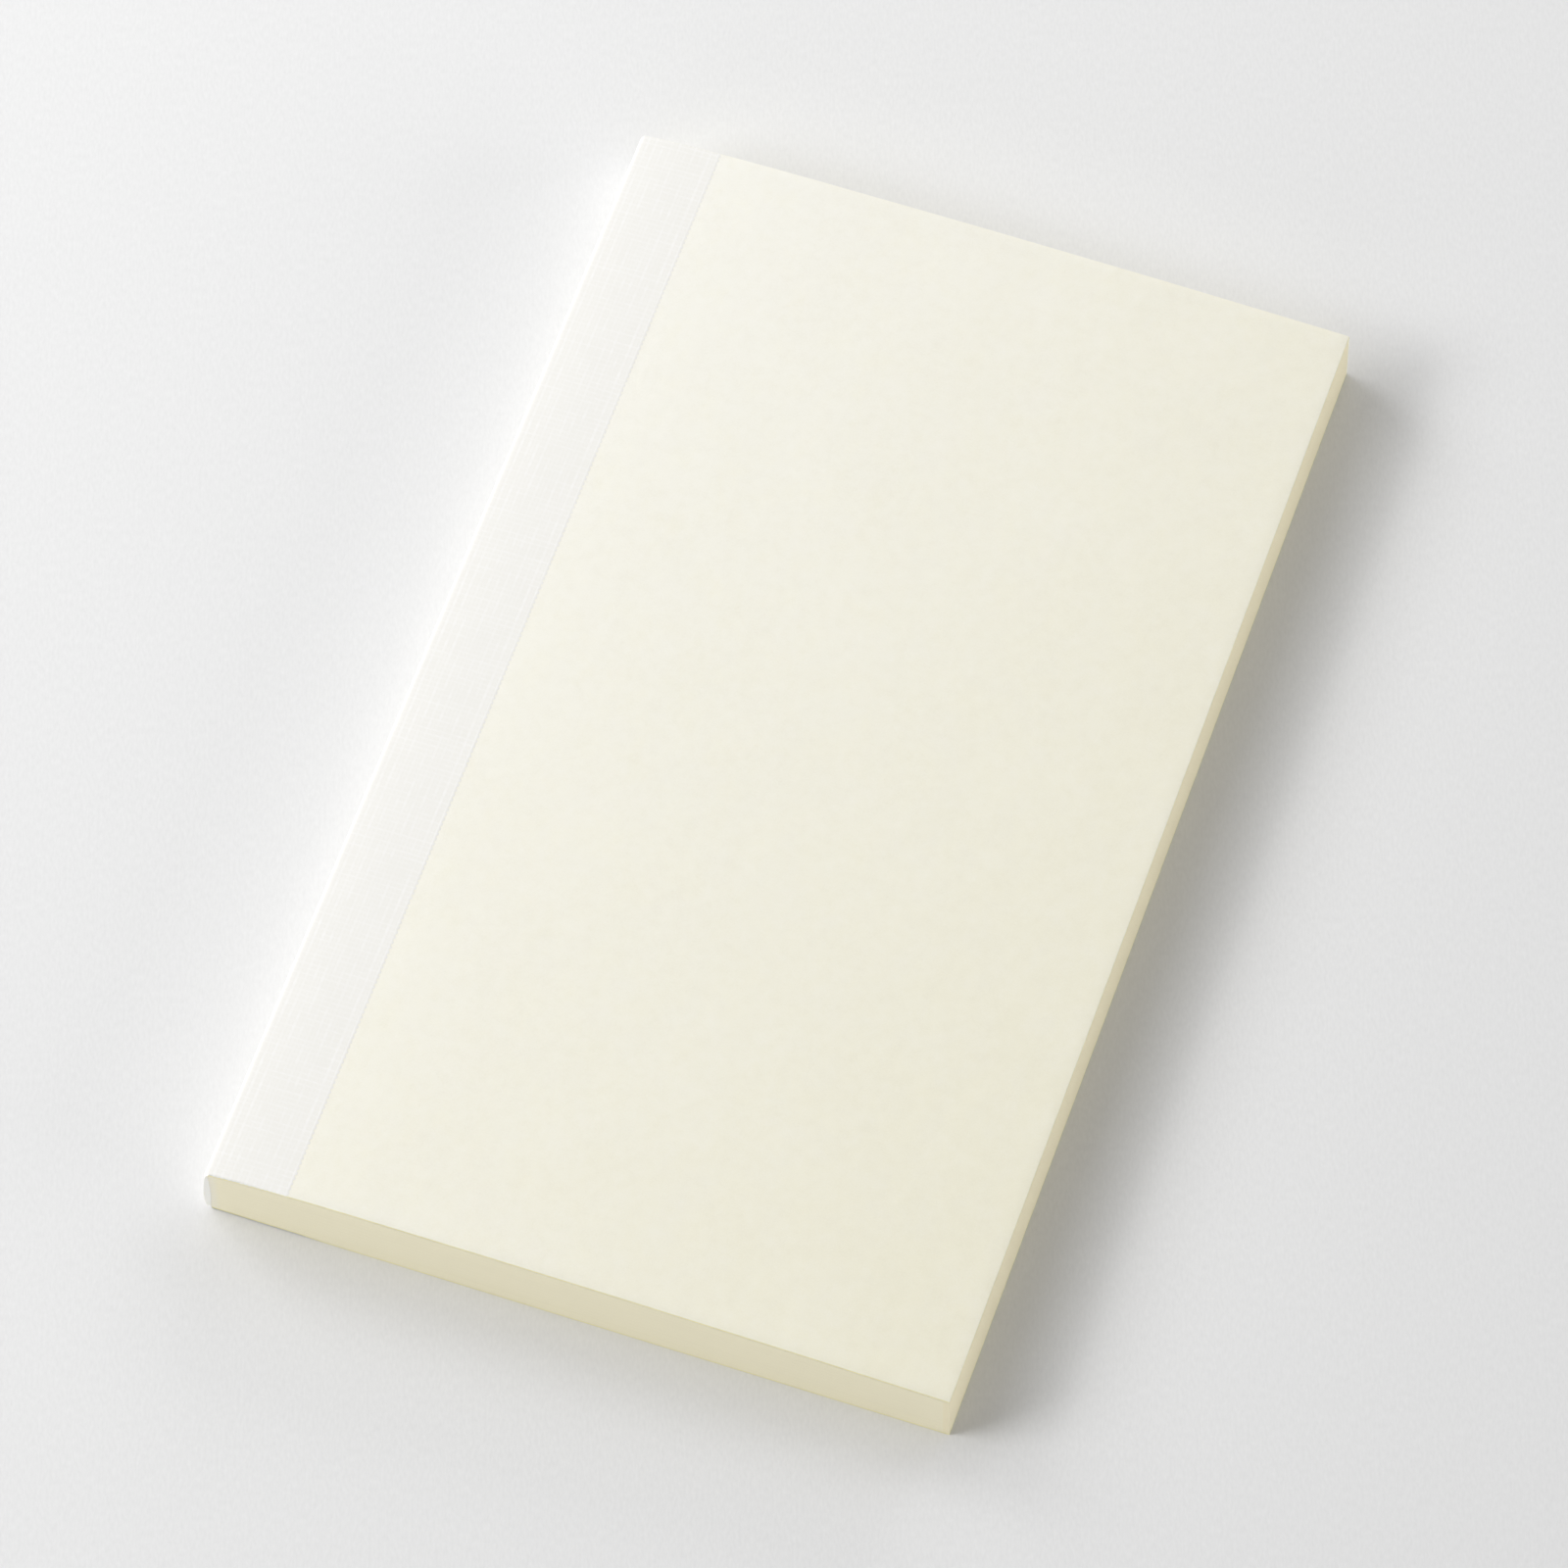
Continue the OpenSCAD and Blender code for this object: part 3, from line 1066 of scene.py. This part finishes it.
@dataclass(frozen=True)
class WaxedThread:
    """White linen thread, laid in two plies and waxed."""

    linen: Colour = (0.90, 0.89, 0.84)
    # Painted shade in the grooves between the plies.
    groove_shade: Colour = (0.66, 0.63, 0.54)
    ply_pitch: Span = (0.35, 0.22)
    fuzz: Grain = Grain(0.0001, 2.0, 0.7)
    fuzz_rise: float = 0.3
    depth: float = 0.04
    roughness: float = 0.5
    rough_spread: float = 0.2
    specular: float = 0.45

    def make(self) -> bpy.types.Material:
        """Makes the finish.

        Returns:
            The material.
        """
        painter = Painter("waxed_thread")
        place = painter.place()
        x, y, z = painter.axes(place)
        twist = painter.plies(y, x + z, self.ply_pitch) * 0.5 + 0.5
        fuzz = painter.noise(place, self.fuzz)
        # Painted shade: the grooves between the plies take the darker colour.
        colour = painter.mix(twist, self.groove_shade, self.linen)
        roughness = self.roughness + fuzz * self.rough_spread
        relief = painter.bump(twist + fuzz * self.fuzz_rise, self.depth)
        return painter.surface(colour, roughness, self.specular, relief)


@dataclass(frozen=True)
class PaperFloor:
    """A plain pale sheet with the faint tooth of drawing paper."""

    tone: Colour = (0.72, 0.72, 0.72)
    light: Colour = (0.80, 0.80, 0.80)
    dark: Colour = (0.64, 0.64, 0.64)
    grain: Grain = Grain(0.0012, 3.0, 0.6)
    felt: Grain = Grain(0.005, 2.0, 0.5)
    tooth: Grain = Grain(0.0004, 3.0, 0.6, (1.0, 0.35, 1.0), -20.0)
    grain_share: float = 0.30
    tooth_share: float = 1.25
    grain_depth: float = 0.016
    felt_depth: float = 0.02
    roughness: float = 0.9
    specular: float = 0.1

    def make(self) -> bpy.types.Material:
        """Makes the finish.

        Returns:
            The material.
        """
        painter = Painter("paper_floor")
        place = painter.place()
        grain = painter.noise(place, self.grain)
        felt = painter.noise(place, self.felt)
        tooth = painter.noise(place, self.tooth)
        shade = (grain - MEAN) * self.grain_share + (tooth - MEAN) * self.tooth_share
        colour = painter.mix(shade.held(), self.tone, self.light)
        colour = painter.mix((0.0 - shade).held(), colour, self.dark)
        relief = painter.bump(grain, self.grain_depth, painter.bump(felt, self.felt_depth))
        return painter.surface(colour, self.roughness, self.specular, relief)


@dataclass
class CoverSheet:
    """One cover, cut from a single sheet and glued to the gauze along the spine."""

    form: BookForm
    side: Side
    cockle: Cockle
    bevel: float = 0.02
    bevel_cuts: int = 2
    bevel_angle: float = 50.0
    fine_run: float = 3.0
    crowding: float = 0.8
    wrap_columns: int = 5
    face_columns: int = 92
    face_gap: float = 0.25
    fine_columns: int = 15
    rows: int = 150
    turned_d: float = 0.01
    edge_rise: float = 0.35
    sharp: float = 40.0

    def columns(self) -> np.ndarray:
        """Gives the distances at which the sheet bends, closest together at its two long edges."""
        form = self.form
        fine = form.width - self.fine_run
        start = np.linspace(form.hinge_d - form.cover_wrap, form.hinge_d, self.wrap_columns)
        middle = np.linspace(form.hinge_d + self.face_gap, fine, self.face_columns)
        crowded = np.linspace(0.0, 1.0, self.fine_columns)[1:] ** self.crowding
        return np.concatenate([start, middle, fine + self.fine_run * crowded])

    def build(self) -> bpy.types.Object:
        """Models the sheet.

        Returns:
            The cover.
        """
        form = self.form
        marks = self.columns()
        name = f"{self.side.value}_cover_sheet"
        piece, across, along = Bench.sheet(name, len(marks) - 1, self.rows)
        d = marks[across]
        y = form.height * (along / self.rows - 0.5)
        drop = form.shoulder_drop(d)
        if self.side is Side.FRONT:
            z = form.cover_top(d) - drop + self.cockle.lift(d, y, form)
        else:
            z = form.cover_floor(d) + drop
        Bench.shape(piece, np.stack([form.x_spine + d, y, z], 1) * MM)
        self.thicken(piece)
        Bench.finish(
            piece,
            "BEVEL",
            width=self.bevel * MM,
            segments=self.bevel_cuts,
            limit_method="ANGLE",
            angle_limit=math.radians(self.bevel_angle),
        )
        Bench.soften(piece, self.sharp)
        return piece

    def thicken(self, piece: bpy.types.Object) -> None:
        """Gives the flat sheet its thickness, towards the pages.

        Args:
            piece: The sheet.
        """
        form = self.form
        inward = -1.0 if self.side is Side.FRONT else 1.0
        Bench.draw_out(piece, (0.0, 0.0, inward * form.cover_t))
        place = Bench.vertices(piece)
        d = place[:, 0] / MM - form.x_spine
        turned = d < form.hinge_d + self.turned_d
        if self.side is Side.FRONT:
            place[turned, 2] = np.maximum(place[turned, 2], (form.z_over + form.bond_line) * MM)
        else:
            place[turned, 2] = np.minimum(place[turned, 2], (form.z_under - form.bond_line) * MM)
        Bench.shape(piece, place)

    def dress(
        self, piece: bpy.types.Object, face: bpy.types.Material, edge: bpy.types.Material
    ) -> None:
        """Gives the sheet its finishes and its place in the book.

        Args:
            piece: The sheet.
            face: The finish of its two faces.
            edge: The finish of its cut edges.
        """
        cut = np.abs(Bench.read(piece.data.polygons, "normal")[:, 2]) < self.edge_rise
        Bench.coat(piece, [face, edge], cut)
        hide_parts(f"{self.side.value}_cover")
        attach(piece, (Body.FRONT if self.side is Side.FRONT else Body.BACK).value)


@dataclass
class PageBlock:
    """The sewn signatures, folded at the back and trimmed on the other three sides."""

    form: BookForm
    fold_columns: int = 7
    near_shares: tuple[float, ...] = (0.0, 0.006, 0.014, 0.025)
    face_share: float = 0.04
    face_columns: int = 40
    fine_run: float = 3.0
    fine_columns: int = 9
    page_rise: float = 0.6
    sharp: float = 30.0

    def columns(self) -> np.ndarray:
        """Gives the columns past the fold centres, as shares of the way to the fore edge."""
        fine = 1.0 - self.fine_run / self.form.width
        middle = np.linspace(self.face_share, fine, self.face_columns)
        end = np.linspace(fine, 1.0, self.fine_columns)[1:]
        return np.concatenate([self.near_shares, middle, end])

    def build(self) -> bpy.types.Object:
        """Models the block from one end face, drawn out along the height of the book.

        Returns:
            The block, with the row and the depth in its fold noted on each vertex.
        """
        form = self.form
        shares = self.columns()
        leaves = form.leaves_per_signature
        rows = form.signatures * leaves
        columns = self.fold_columns + len(shares) - 1
        piece, across, along = Bench.sheet("sewn_pages", columns, rows)
        signature = np.clip(along // leaves, 0, form.signatures - 1)
        leaf = along - signature * leaves - leaves / 2
        centre, _ = form.fold_centre(signature.astype(float))
        below = np.clip(signature - (leaf == -leaves / 2), 0, None)
        centre = np.maximum(centre, form.fold_centre(below.astype(float))[0])
        offset = leaf * form.leaf_t
        reach = np.sqrt(np.maximum(form.fold_r**2 - offset**2, form.fold_press**2))
        in_fold = across < self.fold_columns
        turned = np.cos(across / self.fold_columns * math.pi / 2)
        share = shares[np.clip(across - self.fold_columns, 0, None)]
        d = np.where(in_fold, centre - reach * turned, centre + (form.width - centre) * share)
        up = along / rows
        z = form.page_floor(d) * (1.0 - up) + form.page_top(d) * up
        z = np.where(d < form.end_fold_d, form.z_under + up * (form.z_over - form.z_under), z)
        depth = np.hypot(np.minimum(d - centre, 0.0), offset) / form.leaf_t
        y = np.full_like(d, -form.height / 2)
        Bench.shape(piece, np.stack([form.x_spine + d, y, z], 1) * MM)
        Bench.note(piece, "leaf_row", along.astype(float))
        Bench.note(piece, "fold_depth", depth)
        Bench.draw_out(piece, (0.0, form.height, 0.0))
        Bench.soften(piece, self.sharp)
        return piece

    def dress(
        self, piece: bpy.types.Object, edge: bpy.types.Material, page: bpy.types.Material
    ) -> None:
        """Gives the block its finishes and its place in the book.

        Args:
            piece: The block.
            edge: The finish of the trimmed edges and the folds.
            page: The finish of the first and the last page.
        """
        form = self.form
        faces = piece.data.polygons
        level = np.abs(Bench.read(faces, "normal")[:, 2]) > self.page_rise
        past_fold = Bench.read(faces, "center")[:, 0] > (form.x_spine + form.end_fold_d) * MM
        Bench.coat(piece, [edge, page], level & past_fold)
        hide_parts("page_block")
        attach(piece, Body.BLOCK.value)


@dataclass
class SpineGauze:
    """The strip of starched gauze round the back, in the half on the side of one cover."""

    form: BookForm
    side: Side
    cockle: Cockle
    warp_pitch: float = 0.573
    weft_pitch: float = 0.808
    warp_cells: int = 3
    weft_cells: int = 4
    light_warp: float = 0.5
    slub_run: float = 2.3
    relief: float = 0.013
    edge_share: float = 0.13
    edge_warps: float = 19.0
    fray: float = 0.09
    end_slope: float = 0.8
    end_least: float = 0.07
    end_reach: float = 2.2
    end_out: float = 0.015
    end_found: float = 0.01
    glue_lap: float = 0.08
    hem_slope: float = 0.06
    hem_gap: float = 0.002
    edge_sink: float = 0.7
    lift_run: float = 2.0
    under_fray: float = 0.3
    flap_points: int = 60
    back_points: int = 161
    slope_reach: float = 0.12
    thin: float = 0.1
    even: float = 0.4
    uneven: float = 0.6
    warp_flat: float = 0.15
    warp_fall: float = 0.27
    warp_height: Span = (0.80, 0.20)
    weft_flat: float = 0.05
    weft_fall: float = 0.30
    weft_height: Span = (0.74, 0.22)
    bend_x: float = 1.9
    bend_front: Span = (0.9, 0.35)
    bend_back: Span = (0.7, 0.2)
    sharp: float = 60.0
    seed: int = 5

    def line(self) -> np.ndarray:
        """Gives the gauze's inner face, as X and Z.

        Returns:
            Points from the front flap's edge, round the back, to the back flap's edge.
        """
        form = self.form
        flap = np.linspace(form.gauze_flap, form.hinge_d, self.flap_points)
        turn = (1.0 + np.cos(np.linspace(0.0, math.pi, self.back_points)[1:-1])) / 2
        z = form.gauze_t + (form.z_high - form.gauze_t) * turn
        front = np.stack([form.x_spine + flap, form.cover_top(flap) + form.bond_line], 1)
        back = np.stack([form.back_x(z), z], 1)
        under = np.stack([form.x_spine + flap[::-1], np.full_like(flap, form.gauze_t)], 1)
        return np.concatenate([front, back, under])

    def build(self) -> bpy.types.Object:
        """Models the woven strip.

        Returns:
            The half strip, with the height and the lean of its threads noted on each vertex.
        """
        form = self.form
        line = self.line()
        run = np.concatenate([[0.0], np.cumsum(np.linalg.norm(np.diff(line, axis=0), axis=1))])
        warps = int(run[-1] / self.warp_pitch / 2)
        length = warps * self.warp_pitch
        start = run[-1] / 2 - length if self.side is Side.FRONT else run[-1] / 2
        columns = warps * self.warp_cells
        rows = round(form.height / self.weft_pitch) * self.weft_cells
        piece, across, along = Bench.sheet(f"{self.side.value}_gauze", columns, rows)
        s = start + length * across / columns
        y = form.height * (along / rows - 0.5)
        from_flap = across if self.side is Side.FRONT else columns - across
        height, lean = self.weave(from_flap / self.warp_cells - 0.5, along / self.weft_cells - 0.5)
        full = smooth_step(from_flap / self.warp_cells / self.edge_warps)
        pressed = self.edge_share + (1.0 - self.edge_share) * full
        sunk = self.relief * (1.0 - height) + self.edge_sink * form.bond_line * (1.0 - pressed)
        place = self.over(line, run, s, form.gauze_t * pressed - sunk)
        hem = from_flap <= 1
        inner = self.over(line, run, s, np.where(hem, self.hem_gap - form.bond_line, 0.0))
        inner[:, 0] += np.where(hem, self.hem_slope, 0.0)
        end = np.where(along == rows, 1.0, 0.0) - np.where(along == 0, 1.0, 0.0)
        inner_y = y + end * (self.end_out + self.frayed(across, along))
        lap = self.capped(inner)
        inner = np.where(end[:, None] != 0.0, lap, inner)
        near = np.clip(1.0 - (form.height / 2 - np.abs(y)) / self.end_reach, 0.0, 1.0)
        short = np.maximum(self.end_slope * (lap[:, 0] - place[:, 0]), self.end_least)
        y = y - np.sign(y) * short * near**2
        if self.side is Side.FRONT:
            d = place[:, 0] - form.x_spine
            lift = self.cockle.lift(d, y, form) * smooth_step((d - form.hinge_d) / self.lift_run)
            place[:, 1] += lift
            inner[:, 1] += lift
        Bench.shape(piece, np.stack([place[:, 0], y, place[:, 1]], 1) * MM)
        Bench.note(piece, "thread_height", height)
        Bench.note(piece, "thread_lean", lean)
        for name, values in zip(INNER, (inner[:, 0], inner_y, inner[:, 1])):
            Bench.note(piece, name, values)
        self.cut_fringe(piece, across, along, columns)
        self.close_rim(piece)
        Bench.soften(piece, self.sharp)
        return piece

    def cut_ends(self, piece: bpy.types.Object) -> np.ndarray:
        """Finds the faces at the tail and the head that close the strip's cut ends over the back.

        Args:
            piece: The strip.

        Returns:
            1 for each of those faces, and 0 for the others.
        """
        place = Bench.vertices(piece)
        past = np.abs(place[:, 1]) > (self.form.height / 2 + self.end_found) * MM
        past &= place[:, 0] < (self.form.x_spine + self.form.hinge_d) * MM
        return np.array([any(past[v] for v in face.vertices) for face in piece.data.polygons])

    def capped(self, inner: np.ndarray) -> np.ndarray:
        """Draws the ends of the strip in over the dried glue, as far as the folds.

        Args:
            inner: The strip's inner face, as X and Z.

        Returns:
            Where the cut end of the strip stops, as X and Z.
        """
        form = self.form
        z = inner[:, 1]
        u = np.clip((z - form.z_under) / (form.z_over - form.z_under), 0.0, 1.0)
        covers = np.where((u <= 0.0) | (u >= 1.0), form.hinge_d - form.cover_wrap, 0.0)
        lap = form.x_spine + np.maximum(form.fold_tip_d + form.hollow(u), covers) + self.glue_lap
        return np.stack([np.maximum(inner[:, 0], lap), z], 1)

    def frayed(self, across: np.ndarray, along: np.ndarray) -> np.ndarray:
        """Gives how far the cut warps stick out at the tail and the head.

        Args:
            across: The column of each vertex.
            along: The row of each vertex, 0 at the tail.

        Returns:
            The distance for each column of threads, less on the side that the book lies on.
        """
        rng = np.random.RandomState(self.seed)
        share = 1.0 if self.side is Side.FRONT else self.under_fray
        reach = rng.rand(2, across.max() + 1) ** 2 * self.fray * share
        reach[:, ::self.warp_cells] = 0.0
        return np.where(along == 0, reach[1][across], reach[0][across])

    def spun(self, thread: np.ndarray, place: np.ndarray, seed: int) -> np.ndarray:
        """Gives how heavy a thread is along its length, because it is spun unevenly.

        Args:
            thread: Number of the thread.
            place: Place along it, counted in the threads that cross it.
            seed: Start of the random numbers.

        Returns:
            The weight, from that of the thinnest place to 1.
        """
        rng = np.random.RandomState(self.seed + seed)
        row = (thread - thread.min()).astype(int)
        way = (place - place.min()) / self.slub_run
        stop = way.astype(int)
        table = rng.rand(row.max() + 1, 1) * self.even
        table = table + rng.rand(row.max() + 1, stop.max() + 2) * self.uneven
        part = smooth_step(way - stop)
        weight = table[row, stop] * (1.0 - part) + table[row, stop + 1] * part
        return self.thin + (1.0 - self.thin) * weight

    def weave(self, across: np.ndarray, along: np.ndarray) -> tuple[np.ndarray, np.ndarray]:
        """Gives the height of the threads in a plain weave with a heavy warp and a light one.

        Args:
            across: Places across the strip, counted in warps from the flap's edge.
            along: Places along the strip, counted in wefts.

        Returns:
            The height, from 0 in an opening to 1 on a thread, and 0 to 1 from warp to weft.
        """
        warp, weft = np.rint(across), np.rint(along)
        heavy = np.where(warp % 2 == 0, 1.0, self.light_warp) * self.spun(warp, along, 1)
        over = np.cos(math.pi * along) * np.where(warp % 2 == 0, 1.0, -1.0)
        under = -np.cos(math.pi * across) * np.where(weft % 2 == 0, 1.0, -1.0)
        warp_h = 1.0 - smooth_step((np.abs(across - warp) - self.warp_flat) / self.warp_fall)
        warp_h = warp_h * (self.warp_height[0] + self.warp_height[1] * over) * heavy
        weft_h = 1.0 - smooth_step((np.abs(along - weft) - self.weft_flat) / self.weft_fall)
        weft_h = weft_h * (self.weft_height[0] + self.weft_height[1] * under)
        weft_h = weft_h * self.spun(weft, across, 2)
        height = np.clip(np.maximum(warp_h, weft_h), 0.0, 1.0)
        return height, (weft_h > warp_h).astype(float)

    def over(
        self, line: np.ndarray, run: np.ndarray, s: np.ndarray, height: np.ndarray
    ) -> np.ndarray:
        """Gives points above the strip's inner face.

        Args:
            line: The inner face.
            run: The distance of each of its points along it.
            s: Distances along it.
            height: Heights above it.

        Returns:
            The points, as X and Z.
        """

        def at(where: np.ndarray) -> np.ndarray:
            """Gives the inner face at distances along it."""
            return np.stack([np.interp(where, run, line[:, axis]) for axis in (0, 1)], 1)

        reach = self.slope_reach
        way = at(np.minimum(s + reach, run[-1])) - at(np.maximum(s - reach, 0.0))
        out = np.stack([way[:, 1], -way[:, 0]], 1) / np.linalg.norm(way, axis=1)[:, None]
        return at(s) + out * height[:, None]

    def cut_fringe(
        self, piece: bpy.types.Object, across: np.ndarray, along: np.ndarray, columns: int
    ) -> None:
        """Leaves only the weft's ends past the last warp at the flap's edge.

        Args:
            piece: The strip.
            across: The column of each vertex.
            along: The row of each vertex.
            columns: Cells across the strip.
        """
        edge = 0 if self.side is Side.FRONT else columns - 1
        with Bench.editing(piece) as mesh:
            bpy.ops.mesh.select_all(action="DESELECT")
            mesh.verts.ensure_lookup_table()
            for face in mesh.faces:
                column = min(across[v.index] for v in face.verts)
                row = min(along[v.index] for v in face.verts)
                open_row = row % self.weft_cells in (0, self.weft_cells - 1)
                face.select_set(column == edge and open_row)
            bmesh.update_edit_mesh(piece.data)
            bpy.ops.mesh.delete(type="FACE")

    def close_rim(self, piece: bpy.types.Object) -> None:
        """Turns the strip's faces outwards and its cut edges in, so that its thickness shows.

        Args:
            piece: The strip.
        """
        before = len(piece.data.vertices)
        with Bench.editing(piece) as mesh:
            bpy.ops.mesh.select_all(action="SELECT")
            bpy.ops.mesh.flip_normals()
            bpy.ops.mesh.select_mode(type="EDGE")
            bpy.ops.mesh.select_all(action="DESELECT")
            for edge in mesh.edges:
                edge.select_set(edge.is_boundary)
            bmesh.update_edit_mesh(piece.data)
            bpy.ops.mesh.extrude_edges_move()
        place = Bench.vertices(piece)
        for axis, name in enumerate(INNER):
            inner = np.zeros(len(place), np.float32)
            piece.data.attributes[name].data.foreach_get("value", inner)
            place[before:, axis] = inner[before:] * MM
            piece.data.attributes.remove(piece.data.attributes[name])
        Bench.shape(piece, place)

    def dress(
        self,
        piece: bpy.types.Object,
        cloth: bpy.types.Material,
        cut: bpy.types.Material,
        rests_on: Sequence[str],
    ) -> None:
        """Gives the strip its finishes, hides the imported gauze and bakes the strip's place into
        its mesh.

        Args:
            piece: The strip.
            cloth: Its finish.
            cut: The finish of its cut ends.
            rests_on: What it is glued to; not used.
        """
        form = self.form
        Bench.coat(piece, [cloth, cut], self.cut_ends(piece))
        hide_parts("spine_gauze")
        line = self.line()
        if self.side is Side.FRONT:
            heights = form.z_high - self.bend_front[0], form.z_high + self.bend_front[1]
        else:
            heights = form.gauze_t + self.bend_back[0], -self.bend_back[1]
        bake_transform(piece)


@dataclass(frozen=True)
class SoftLight:
    """One soft light, placed round the book.

    The azimuth is counted from +X towards +Y, in degrees, and the size is in metres.
    """

    name: str
    azimuth: float
    elevation: float
    distance: float
    width: float
    height: float
    power: float

    def build(self) -> None:
        """Hangs the light, facing the book."""
        light = bpy.data.lights.new(self.name, "AREA")
        light.shape = "RECTANGLE"
        light.size, light.size_y = self.width, self.height
        light.energy = self.power
        lamp = bpy.data.objects.new(self.name, light)
        bpy.context.scene.collection.objects.link(lamp)
        turn, rise = math.radians(self.azimuth), math.radians(self.elevation)
        level = math.cos(rise)
        way = Vector((math.cos(turn) * level, math.sin(turn) * level, math.sin(rise)))
        facing = way.to_track_quat("Z", "Y").to_matrix().to_4x4()
        lamp.matrix_world = Matrix.Translation(way * self.distance) @ facing


@dataclass
class Studio:
    """The pale floor, the soft lights and the camera."""

    ambient: float = 0.113
    floor_size: float = 6.0
    floor_cells: int = 8
    floor_gap: float = 0.01
    yaw: float = -20.27
    elevation: float = 60.48
    roll: float = 1.31
    aim: tuple[float, float, float] = (-0.375, -0.8, 0.0)
    distance: float = 1349.0
    focal_pixels: float = 9997.0
    image_pixels: float = 1600.0
    sensor: float = 36.0
    clip: Span = (0.05, 50.0)
    lights: list[SoftLight] = field(
        default_factory=lambda: [
            SoftLight("window_upper", 188.0, 43.0, 1.35, 0.49, 0.49, 3.2),
            SoftLight("window_top", 135.0, 52.0, 1.35, 0.93, 0.62, 3.6),
            SoftLight("window_tail", 205.0, 40.0, 1.35, 0.65, 0.39, 1.4),
            SoftLight("window_side", 160.0, 28.0, 1.35, 0.65, 0.52, 6.3),
            SoftLight("window_high", 190.0, 58.0, 1.35, 0.62, 0.46, 1.5),
            SoftLight("sheet_left", -150.0, 30.0, 2.60, 1.19, 0.89, 32.9),
            SoftLight("board_fore", 5.0, 12.0, 2.60, 1.80, 1.00, 22.3),
            SoftLight("board_tail", -90.0, 12.0, 2.60, 1.80, 1.00, 9.7),
            SoftLight("board_head", 90.0, 15.0, 2.60, 1.80, 1.00, 19.6),
            SoftLight("board_corner", 60.0, 30.0, 2.60, 1.80, 1.20, 11.8),
        ]
    )

    def build(self) -> None:
        """Sets up the whole studio."""
        self.lay_floor()
        self.light_room()
        for light in self.lights:
            light.build()
        self.set_camera()

    def lay_floor(self) -> None:
        """Lays the floor just under the book."""
        floor, _, _ = Bench.sheet("floor", self.floor_cells, self.floor_cells)
        place = Bench.vertices(floor) * self.floor_size
        place[:, 2] = -self.floor_gap * MM
        Bench.shape(floor, place)
        Bench.coat(floor, [PaperFloor().make()])

    def light_room(self) -> None:
        """Fills the room with an even, faint light and keeps its tones as they are."""
        scene = bpy.context.scene
        world = bpy.data.worlds.new("room")
        world.use_nodes = True
        backdrop = world.node_tree.nodes["Background"]
        backdrop.inputs["Color"].default_value = (1.0, 1.0, 1.0, 1.0)
        backdrop.inputs["Strength"].default_value = self.ambient
        scene.world = world
        scene.view_settings.view_transform = "Standard"
        scene.view_settings.look = "None"

    def set_camera(self) -> None:
        """Places the camera where the photograph was taken from."""
        yaw, pitch, roll = (math.radians(v) for v in (self.yaw, self.elevation, self.roll))
        ahead, fall = math.cos(pitch), -math.sin(pitch)
        forward = Vector((math.sin(yaw) * ahead, math.cos(yaw) * ahead, fall))
        level = Vector((math.cos(yaw), -math.sin(yaw), 0.0))
        down = forward.cross(level)
        right = level * math.cos(roll) + down * math.sin(roll)
        lower = down * math.cos(roll) - level * math.sin(roll)
        centre = (Vector(self.aim) - forward * self.distance) * MM
        data = bpy.data.cameras.new("camera")
        data.sensor_width = self.sensor
        data.lens = self.sensor * self.focal_pixels / self.image_pixels
        data.clip_start, data.clip_end = self.clip
        camera = bpy.data.objects.new("camera", data)
        bpy.context.scene.collection.objects.link(camera)
        turn = Matrix((right, -lower, -forward)).transposed()
        camera.matrix_world = Matrix.Translation(centre) @ turn.to_4x4()
        bpy.context.scene.camera = camera


def tell(piece: bpy.types.Object) -> None:
    """Logs a piece's name and its number of triangles."""
    triangles = sum(len(face.vertices) - 2 for face in piece.data.polygons)
    LOG.info("%s: %d triangles", piece.name, triangles)


def main() -> None:
    """Builds the studio and the book, piece by piece."""
    logging.basicConfig(level=logging.INFO, format="%(name)s: %(message)s")
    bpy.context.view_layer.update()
    form, cockle = BookForm(), Cockle()
    Studio().build()
    LOG.info("studio set")

    cover_face, cover_edge = CoverPaper().make(), CutEdge().make()
    for side in Side:
        cover = CoverSheet(form, side, cockle)
        piece = cover.build()
        cover.dress(piece, cover_face, cover_edge)
        tell(piece)

    block = PageBlock(form)
    piece = block.build()
    block.dress(piece, TrimmedPages().make(), RuledPage().make())
    tell(piece)

    cloth, cloth_end = StarchedGauze().make(), GluedEndPaintedGlow().make()
    for side in Side:
        gauze = SpineGauze(form, side, cockle)
        piece = gauze.build()
        gauze.dress(piece, cloth, cloth_end, [f"{side.value}_cover_sheet", "spine_glue"])
        tell(piece)

    Bench.coat(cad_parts["spine_glue"], [DriedGlue().make()])
    Bench.coat(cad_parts["binding_thread"], [WaxedThread().make()])
    LOG.info("glue and thread dressed")


if __name__ == "__main__":
    main()
